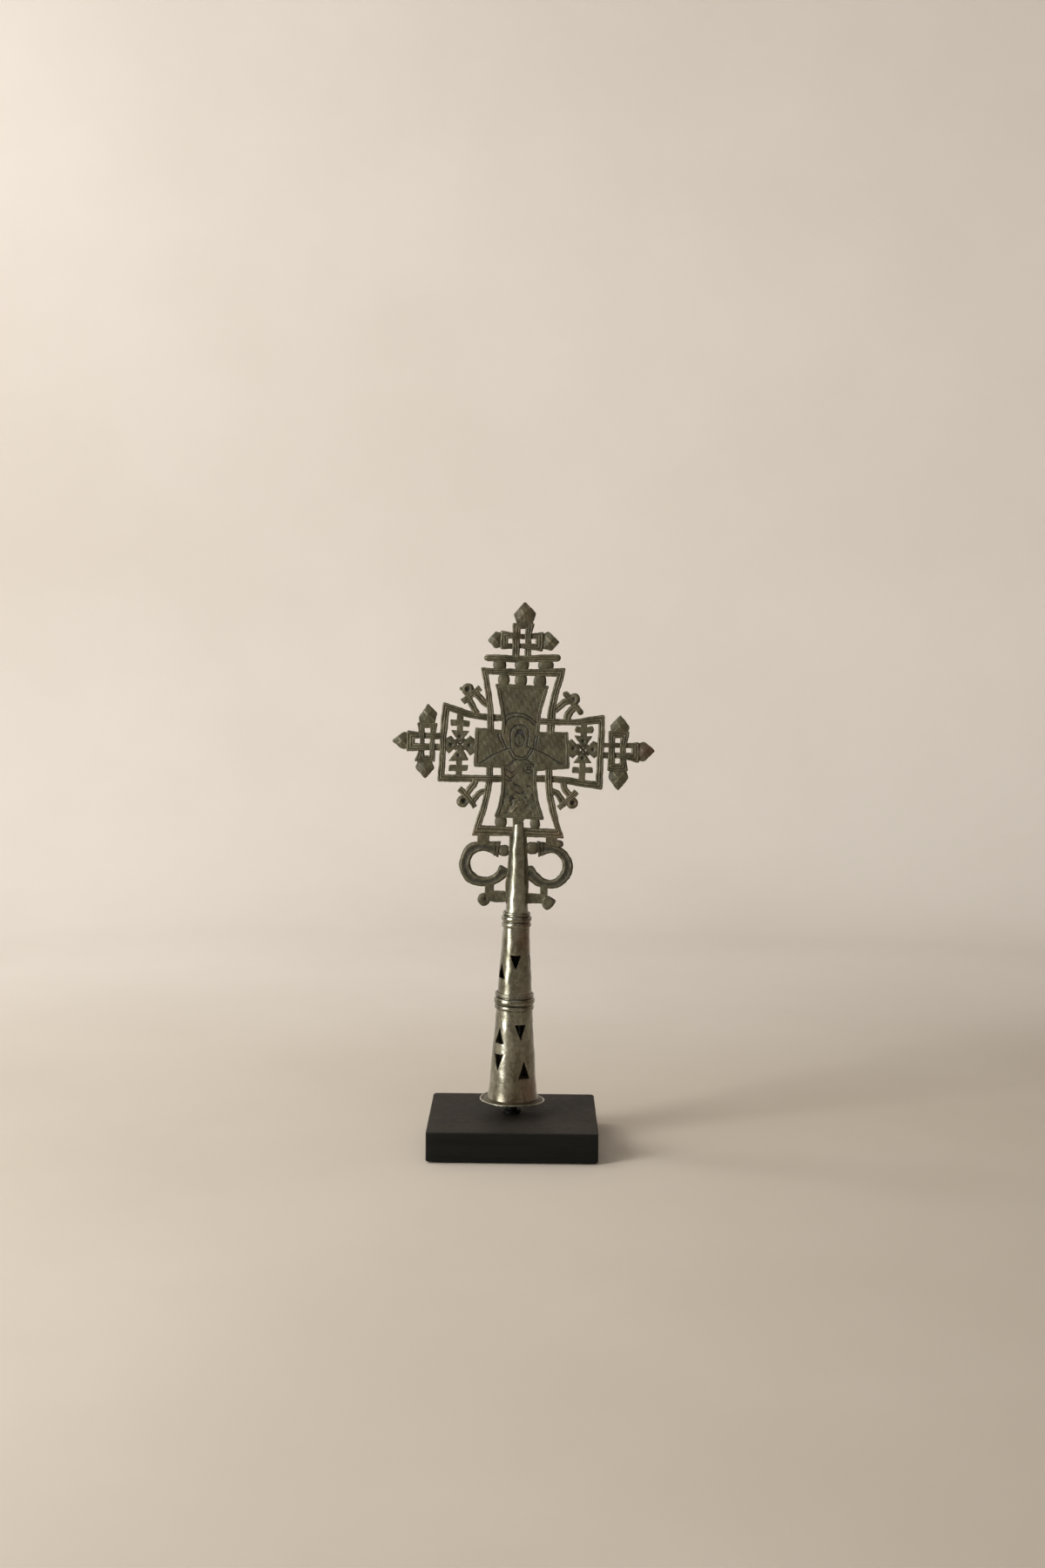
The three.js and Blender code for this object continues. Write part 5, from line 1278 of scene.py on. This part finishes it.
def sheet_tube(foot, length, radius, wall, inside, columns, rows=None, bend=0.0):
    """Tube of sheet metal: radius(height) plus dents, with the parts where inside(height, turn) is negative
    cut out, and an inner wall. Its foot stands aside by the bend. A lapped seam runs down the back: a step
    that falls off with the turn past it."""
    heights = np.linspace(foot, foot + length, rows or int(length / 0.75) + 1)
    turns = np.linspace(-math.pi, math.pi, columns, endpoint=False)
    h, t, quads, tris = trimmed(heights, turns, inside, wrap=True)
    past = np.mod(t, 2 * math.pi) - math.pi
    seam = SEAM_STEP / (1 + np.exp(-past * SEAM_SHARPNESS)) * (np.abs(past) < SEAM_REACH)
    seam = seam * np.clip((SEAM_REACH - past) / SEAM_REACH, 0, 1)
    foot_lip = 0.12 * np.exp(-((h - foot) / LIP_REACH) ** 2)
    top_lip = 0.10 * np.exp(-((h - foot - length) / LIP_REACH) ** 2)
    outer = radius(h) + dents(t, h) + seam + (foot_lip + top_lip)
    hole = np.exp(-(np.clip(inside(h, t), 0, None) / HOLE_REACH) ** 2)
    front = ring_points(outer - HOLE_DROP * hole, t, h)
    back = ring_points(outer - wall, t, h)
    for sheet in (front, back):
        sheet[:, 0] += bend * (1 - (h - foot) / length)
    # Lower values round the holes and on the inner wall: painted shade there
    return thickened(front, back, quads, tris, 0.62 - 0.30 * hole, INSIDE_SHADE)


def punched(holes):
    """Signed distance to the nearest of several triangles, each (turn of its middle in degrees, radius
    there, foot, top, width, 1 if it stands on its base or -1 on its point): the largest of the distances to
    its three edges."""
    def inside(height, turn):
        best = np.full(np.broadcast(height, turn).shape, 1e3)
        for degrees, radius, low, high, width, point in holes:
            s = (np.mod(turn - math.radians(degrees) + math.pi, 2 * math.pi) - math.pi) * radius
            base, tip = (low, high) if point > 0 else (high, low)
            up = (height - base) * np.sign(tip - base)
            tall, half = abs(tip - base), width / 2
            slant = math.hypot(tall, half)
            edge = (np.abs(s) * tall + up * half - half * tall) / slant
            best = np.minimum(best, np.maximum(edge, -up))
        return best
    return inside


LOWER_FOOT, LOWER_LENGTH = 11.8, 70.0
MIDDLE_FOOT, MIDDLE_LENGTH = 82.1, 58.3
UPPER_FOOT, UPPER_LENGTH = 140.7, 70.0


def lower_radius(h):
    """Straight taper that opens a little towards the mouth."""
    mouth = 0.4 * np.exp(-((h - LOWER_FOOT) / 4) ** 2)
    return 17.6 - (h - LOWER_FOOT) * (17.6 - 12.5) / LOWER_LENGTH + mouth


def middle_radius(h):
    """Straight taper."""
    return 12.7 - (h - MIDDLE_FOOT) * (12.7 - 9.1) / MIDDLE_LENGTH


def upper_radius(h):
    """Taper in two straight parts, the steeper one below."""
    return np.interp(h, [UPPER_FOOT, 167.7, UPPER_FOOT + UPPER_LENGTH], [8.9, 6.5, 4.3])


LOWER_HOLES = [
    (21, 14.1, 55.3, 66.9, 9.0, -1), (-46.5, 14.2, 52.4, 64.6, 8.6, 1), (-124, 14.1, 54.5, 66.0, 8.4, -1),
    (138, 14.1, 53.0, 64.4, 8.8, 1), (92, 14.1, 55.0, 66.6, 8.4, -1),
    (30, 15.6, 28.2, 41.4, 9.2, 1), (-44.5, 15.5, 32.8, 45.0, 8.8, -1), (-116, 15.6, 29.0, 41.0, 8.6, 1),
    (173, 15.5, 32.0, 44.4, 9.0, -1), (102, 15.6, 28.6, 40.8, 8.6, 1),
]
MIDDLE_HOLES = [
    (1, 11.0, 105.9, 116.4, 8.4, -1), (-60, 11.3, 99.2, 110.6, 8.2, 1), (-142, 11.1, 105.0, 116.0, 8.2, -1),
    (146, 11.3, 99.6, 110.6, 8.4, 1), (81, 11.1, 105.6, 116.2, 8.2, -1),
]
PUNCHED_WALL, SLIT_WALL = 0.85, 0.8
lower = sheet_tube(LOWER_FOOT, LOWER_LENGTH, lower_radius, PUNCHED_WALL, punched(LOWER_HOLES), 216, bend=0.4)
add_turned("punched_tube_lower", lower, silver, "cross", ["lower_tube"])
middle = sheet_tube(MIDDLE_FOOT, MIDDLE_LENGTH, middle_radius, PUNCHED_WALL, punched(MIDDLE_HOLES), 192)
add_turned("punched_tube_middle", middle, silver, "cross", ["middle_tube"])

SLIT_FOOT, SLIT_HALF_DEPTH = 151.3, 2.55
RIM_SLOPE, RIM_RISE = 0.25, 209.7
RIM_SPARE = 1.2


def slit_and_rim(height, turn):
    """Positive where the upper tube has metal: outside the slit for the stem and below its slanted rim."""
    radius = upper_radius(height)
    outside = np.maximum(np.abs(radius * np.cos(turn)) - SLIT_HALF_DEPTH, SLIT_FOOT - height)
    return np.minimum(outside, RIM_RISE + RIM_SLOPE * radius * np.sin(turn) - height)


upper = sheet_tube(UPPER_FOOT, UPPER_LENGTH + RIM_SPARE, upper_radius, SLIT_WALL, slit_and_rim, 144, 130)
add_turned("slit_tube_upper", upper, silver_dull, "cross", ["upper_tube"])


WIRE_SIDES, WIRE_BACK, HIDDEN_SHADE = 128, 0.2, 0.1


def wire_ring(inner, foot, height, proud, tilt, wave, ridges):
    """Half-round wire closed to a ring: radius inner + proud * shape, with shape = sqrt(1 - c^2)^0.8 or that
    with a groove between ridges. The ring tilts by slopes to the right and to the back, and its height waves
    a little."""
    c = np.cos(np.linspace(math.pi, 0, 8 * ridges + 5))
    shape = np.sqrt(np.clip(1 - c ** 2, 0, 1)) ** 0.8
    if ridges > 1:
        shape = shape * (1 - 0.35 * np.cos(math.pi * c * ridges / 2) ** 8)
    radius = np.r_[inner + proud * shape, inner - WIRE_BACK, inner - WIRE_BACK]
    level = np.r_[(c + 1) / 2 * height, height, 0]
    turn = all_round(WIRE_SIDES)[:, None]
    grow = wave * (np.sin(3 * turn + 0.7) + 0.6 * np.sin(7 * turn + 2.0) + 0.5 * np.sin(17 * turn))
    wide = radius[None, :] + np.where(radius > inner + 0.1 * proud, grow, 0)
    rise = foot + level[None, :] + tilt[0] * wide * np.sin(turn) - tilt[1] * wide * np.cos(turn)
    rise = rise + wave * 0.8 * np.sin(4 * turn + 1.9)
    # Darker towards the wire's edges and on its back, where it meets the tube: painted shade
    wear_and_shade = np.tile(np.r_[0.30 + 0.65 * shape ** 3, HIDDEN_SHADE, HIDDEN_SHADE], WIRE_SIDES)
    return shell(ring_points(wide, turn, rise), lattice(WIRE_SIDES, len(radius), True, True), None, wear_and_shade)


# Collars, as ((inner radius, foot, height, proud), tilt, wave, ridges)
COLLARS = {
    "upper_collar_lower_wire": ((9.45, 135.35, 3.7, 1.15), (0.012, -0.01), 0.05, 1),
    "upper_collar_band": ((9.35, 139.6, 4.2, 1.6), (-0.012, 0.012), 0.05, 1),
    "upper_collar_top_wire": ((9.1, 144.3, 2.1, 0.95), (-0.022, 0.01), 0.06, 1),
    "lower_collar_lower_wire": ((12.95, 76.0, 3.6, 1.2), (-0.012, 0.0), 0.05, 1),
    "lower_collar_band": ((13.05, 79.9, 4.9, 1.6), (0.010, 0.008), 0.06, 1),
    "lower_collar_top_wire": ((12.9, 85.2, 3.0, 1.05), (-0.014, 0.012), 0.13, 2),
}
for node, (size, tilt, wave, ridges) in COLLARS.items():
    ring = wire_ring(*size, tilt, wave, ridges)
    add_turned(f"{node}_wound", ring, silver_dark, "cross", [node], 50)

# Shaft: the flange is a thin dished disc, bent by handling, with a round wire along its edge
FLANGE_HOLE, FLANGE_EDGE, FLANGE_FOOT = 16.3, 22.4, 9.75
FLANGE_DISH, FLANGE_SHEET = 2.3, 0.85
FLANGE_SIDES, FLANGE_ROWS = 144, 15
EDGE_RADIUS, EDGE_HEIGHT, EDGE_THICK = 22.75, 10.1, 0.60
EDGE_SIDES, EDGE_AROUND, EDGE_WEAR = 160, 14, 0.85


def flange_lift(turn):
    """How far the bent edge stands above its even place."""
    return 0.42 * np.sin(turn + 2.5) + 0.28 * np.sin(2 * turn + 0.6) + 0.12 * np.sin(5 * turn)


def flange_disc():
    """Disc from the tube's foot out: height falls from the dish to the edge, and the bend grows with the
    share outwards."""
    outwards = np.linspace(0, 1, FLANGE_ROWS)
    share = np.r_[outwards, outwards[::-1]][None, :]
    top = np.repeat([1.0, 0.0], FLANGE_ROWS)[None, :]
    turn = all_round(FLANGE_SIDES)[:, None]
    radius = FLANGE_HOLE + (FLANGE_EDGE - FLANGE_HOLE) * share
    raise_by = FLANGE_DISH * (1 - share) ** 2.2 * top + FLANGE_SHEET * top
    height = FLANGE_FOOT + raise_by + flange_lift(turn) * share ** 1.5
    # Low values paint the disc dark, partly tarnish and partly painted shade, darkest in the corner at the
    # tube's foot: painted shade
    wear_and_shade = (0.22 - 0.20 * np.exp(-(share / 0.22) ** 2)) * np.ones_like(turn)
    quads = lattice(FLANGE_SIDES, 2 * FLANGE_ROWS, True, True)
    return shell(ring_points(radius, turn, height), quads, None, wear_and_shade)


def edge_wire():
    """Round wire along the flange's edge: a small circle carried round, following the same bend."""
    around = all_round(EDGE_AROUND)[None, :]
    turn = all_round(EDGE_SIDES)[:, None]
    thick = EDGE_THICK * (1 + 0.10 * np.sin(9 * turn) + 0.08 * np.sin(23 * turn + 1))
    radius = EDGE_RADIUS + thick * np.cos(around)
    height = EDGE_HEIGHT + flange_lift(turn) + thick * np.sin(around)
    quads = lattice(EDGE_SIDES, EDGE_AROUND, True, True)
    return shell(ring_points(radius, turn, height), quads, None, EDGE_WEAR)


disc, rim = flange_disc(), edge_wire()
add_turned("dished_flange", disc, silver_worn, "cross", ["mouth_flange"], 45)
add_turned("flange_edge_wire", rim, silver_bright, "cross", ["flange_rim_wire"], 60, ())


# Stand: the rod with its shoulder, turned smooth
ROD_SIDES = 64
ROD = [(0, -20.2), (3.7, -20.2), (4.0, -19.9), (4.0, 0.3), (6.2, 0.3), (6.5, 0.6), (6.5, 2.4), (6.1, 2.8),
       (4.0, 2.8), (4.0, 128.9), (3.6, 129.3), (2.4, 129.3), (2.4, 135.0), (2.1, 135.3), (0, 135.3)]


def turned_piece(profile):
    """Profile of (radius, height) carried round the rod's axis; its ends lie on the axis."""
    profile = np.asarray(profile, float)
    radius, height = profile[1:-1, :1], profile[1:-1, 1:]
    poles = [[0, 0, profile[0, 1]], [0, 0, profile[-1, 1]]]
    return capped(ring_points(radius, all_round(ROD_SIDES), height), poles)


add_turned("turned_rod", turned_piece(ROD), black_steel, "stand", ["mounting_rod"], 30, ())


# Stand: the block with softened, slightly bruised edges
BLOCK_HALF = np.array([60.0, 55.0])
BLOCK_FOOT, BLOCK_EDGE, BLOCK_CORNER = 1.0, 1.1, 2.0
BLOCK_SIDES = 240
ROD_HOLE, POCKET_RADIUS, POCKET_RISE = 4.35, 11.0, 10.4


def block_shell():
    """Closed sheet carried round the block: rows run from the rod's hole over the top, down the side and back
    to the nut's pocket and up its wall; columns go round. Rows blend from a circle to a rounded square."""
    angle = all_round(BLOCK_SIDES) + math.pi / BLOCK_SIDES
    circle = np.stack([np.cos(angle), np.sin(angle)], 1)
    square = circle * (BLOCK_HALF / np.maximum(np.abs(circle), 1e-9)).min(1)[:, None]
    core = np.clip(square, BLOCK_CORNER - BLOCK_HALF, BLOCK_HALF - BLOCK_CORNER)
    away = square - core
    length = np.linalg.norm(away, axis=1)[:, None]
    square = core + away / np.maximum(length, 1e-9) * np.minimum(length, BLOCK_CORNER)
    half_x, edge, top, foot = BLOCK_HALF[0], BLOCK_EDGE, BLOCK_TOP, BLOCK_FOOT
    rod_top, pocket_mouth, pocket = np.array([ROD_FOOT_X, 0]) - [[0, 0], [0.3, 0], [0.17, 0]]
    bend = np.linspace(0, math.pi / 2, 6)
    rows, wears = [], []

    def add_row(points, height, wear_and_shade=PLAIN_WEAR):
        rows.append(np.column_stack([points, np.broadcast_to(height, len(points))]))
        wears.append(np.full(len(points), wear_and_shade))

    for share in np.linspace(0, 1, 14) ** 1.3:
        add_row((rod_top + circle * ROD_HOLE) * (1 - share) + (square * (1 - edge / half_x)) * share, top)
    for a in bend[1:]:
        inset = edge * (1 - math.sin(a)) / half_x
        add_row(square * (1 - inset), top - edge * (1 - math.cos(a)), 0.75 + 0.25 * math.sin(2 * a))
    for share in np.linspace(0, 1, 10)[1:-1]:
        add_row(square, (top - edge) * (1 - share) + (foot + edge) * share)
    for a in bend:
        inset = edge * (1 - math.cos(a)) / half_x
        add_row(square * (1 - inset), foot + edge * (1 - math.sin(a)), 0.6)
    for share in np.linspace(0, 1, 8)[1:]:
        mouth = (pocket_mouth + circle * POCKET_RADIUS) * share
        add_row(square * (1 - edge / half_x) * (1 - share) + mouth, foot)
    for radius in (POCKET_RADIUS, ROD_HOLE):
        add_row(pocket + circle * radius, foot + POCKET_RISE, 0.2)
    points = np.concatenate(rows)
    x, y = points[:, 0], points[:, 1]
    bruise = 0.10 * np.sin(x * 0.31 + 1) * np.sin(y * 0.27 + 2) + 0.05 * np.sin(x * 1.3)
    rim = np.concatenate(wears)
    shrink = 1 - np.clip((rim - 0.7) / 0.3, 0, 1) * np.abs(bruise) * 0.02
    points[:, :2] *= shrink[:, None]
    return shell(points * MM, lattice(len(rows), BLOCK_SIDES, True, True), None, rim)


block = add_piece("painted_block", block_shell(), black_wood, "stand", ["base_block"], 45)

# CAD nodes that stay, each with its own finish
KEPT = {
    "base_felt": felt_finish(), "socket_plug": brown_wood_finish(), "rod_cap": leather_finish(),
    "rod_washer": plain_steel, "rod_nut": plain_steel,
}
for node, material in KEPT.items():
    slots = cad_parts[node].data.materials
    slots.clear()
    slots.append(material)


# Stage: one pale round sheet for floor and backdrop, soft light from the left, weak ones for the walls
def backdrop_finish():
    """Matte warm paint, with very faint clouds and a little paler towards the back and up the wall."""
    f = Finish("pale_stage")
    cloud = f.noise(3.0, 4, 0.55)
    split = f.add("ShaderNodeSeparateXYZ")
    f.join(f.place, split.inputs[0])
    floor = f.mix(f.ramp(cloud, 0.3, 0.7), (0.530, 0.472, 0.398), (0.562, 0.505, 0.432))
    wall = f.mix(f.ramp(cloud, 0.3, 0.7), (0.700, 0.652, 0.592), (0.728, 0.684, 0.628))
    color = f.mix(f.ramp(split.outputs["Y"], 0.05, 0.75), floor, wall)
    return f.finish(color, 0.95, 0.0, None, 0.1)


SHEET_REACH, SHEET_BEND, SHEET_HEIGHT, SHEET_MIDDLE_Y = 2.05, 0.45, 3.0, -0.7
SHEET_SIDES = 96


def backdrop():
    """Round sheet: a profile of floor, quarter circle and wall is carried round an axis in front of the
    cross."""
    bend = np.linspace(0, math.pi / 2, 24)
    out = np.r_[0.5, 1.0, SHEET_REACH - SHEET_BEND + SHEET_BEND * np.sin(bend), SHEET_REACH]
    height = np.r_[0.0, 0.0, SHEET_BEND - SHEET_BEND * np.cos(bend), SHEET_HEIGHT]
    turn = all_round(SHEET_SIDES)[:, None]
    grid = np.broadcast_arrays(out * np.sin(turn), out * np.cos(turn) + SHEET_MIDDLE_Y, height)
    points = np.stack(grid, -1).reshape(-1, 3).tolist() + [[0.0, SHEET_MIDDLE_Y, 0.0]]
    rows = len(out)
    floor = fan(SHEET_SIDES * rows, np.arange(SHEET_SIDES) * rows)
    faces = lattice(SHEET_SIDES, rows, wrap_rows=True)[:, ::-1].tolist() + floor[:, ::-1].tolist()
    mesh = bpy.data.meshes.new("stage_sheet")
    mesh.from_pydata(points, [], faces)
    mesh.shade_smooth()
    mesh.materials.append(backdrop_finish())
    sheet = bpy.data.objects.new("stage_sheet", mesh)
    bpy.context.scene.collection.objects.link(sheet)


def set_up(name, data, right, up, backward, location):
    """Links a lamp or camera that looks along the reverse of backward."""
    holder = bpy.data.objects.new(name, data)
    bpy.context.scene.collection.objects.link(holder)
    matrix = np.eye(4)
    matrix[:3] = np.column_stack([right, up, backward, location])
    holder.matrix_world = Matrix(matrix.tolist())
    return holder


def lamp(name, location, target, size, power, color):
    """Rectangular lamp that shines from its location on its target."""
    light = bpy.data.lights.new(name, "AREA")
    light.shape = "RECTANGLE"
    light.size, light.size_y = size
    light.energy = power
    light.color = color
    away = np.array(location) - np.array(target)
    backward = away / np.linalg.norm(away)
    right = np.cross([0.0, 0.0, 1.0], backward)
    right /= np.linalg.norm(right)
    set_up(name, light, right, np.cross(backward, right), backward, location)


DAYLIGHT, WALL_WHITE = (1.0, 0.995, 0.985), (1.0, 0.99, 0.98)
ROOM_COLOR, ROOM_STRENGTH = (0.80, 0.78, 0.74, 1.0), 0.14

# Lamps, as (name, location, target, width and height, watts, colour)
LAMPS = [
    ("window_left", (-1.15, -0.73, 0.58), (0, 0, 0.34), (0.48, 1.12), 25, DAYLIGHT),
    ("wall_light", (-1.15, 0.30, 1.45), (-0.75, 1.3, 0.35), (1.1, 0.5), 12, WALL_WHITE),
    ("ceiling", (0.0, -0.4, 1.9), (0, 0, 0.2), (1.4, 1.4), 5, WALL_WHITE),
    ("front_wall_light", (0.5, -1.5, 1.9), (0.5, -2.7, 0.5), (1.2, 0.5), 8, WALL_WHITE),
]
backdrop()
for numbers in LAMPS:
    lamp(*numbers)

world = bpy.data.worlds.new("room")
world.use_nodes = True
room = world.node_tree.nodes["Background"].inputs
room["Color"].default_value = ROOM_COLOR
room["Strength"].default_value = ROOM_STRENGTH
bpy.context.scene.world = world
bpy.context.scene.view_settings.view_transform = "Standard"


# Camera at the photograph's place: metres, then yaw, pitch and roll in degrees, lens and sensor in
# millimetres
CAMERA_PLACE = (0.0113, -1.3431, 0.3817)
CAMERA_TURNS = (-0.282, 5.186, 0.546)
LENS, SENSOR_HEIGHT = 43.65, 36
CLIP_NEAR, CLIP_FAR = 0.05, 50


def add_camera(location, yaw, pitch, roll):
    """Looks along (sin yaw cos pitch, cos yaw cos pitch, -sin pitch), turned about that line by the roll."""
    yaw, pitch, roll = (math.radians(v) for v in (yaw, pitch, roll))
    ahead = np.array([math.sin(yaw) * math.cos(pitch), math.cos(yaw) * math.cos(pitch), -math.sin(pitch)])
    right = np.array([math.cos(yaw), -math.sin(yaw), 0])
    up = np.cross(right, ahead)
    side = math.cos(roll) * right + math.sin(roll) * up
    top = -math.sin(roll) * right + math.cos(roll) * up
    data = bpy.data.cameras.new("photo_view")
    data.sensor_fit, data.sensor_height, data.lens = "VERTICAL", SENSOR_HEIGHT, LENS
    data.clip_start, data.clip_end = CLIP_NEAR, CLIP_FAR
    bpy.context.scene.camera = set_up("photo_view", data, side, top, -ahead, location)


add_camera(CAMERA_PLACE, *CAMERA_TURNS)
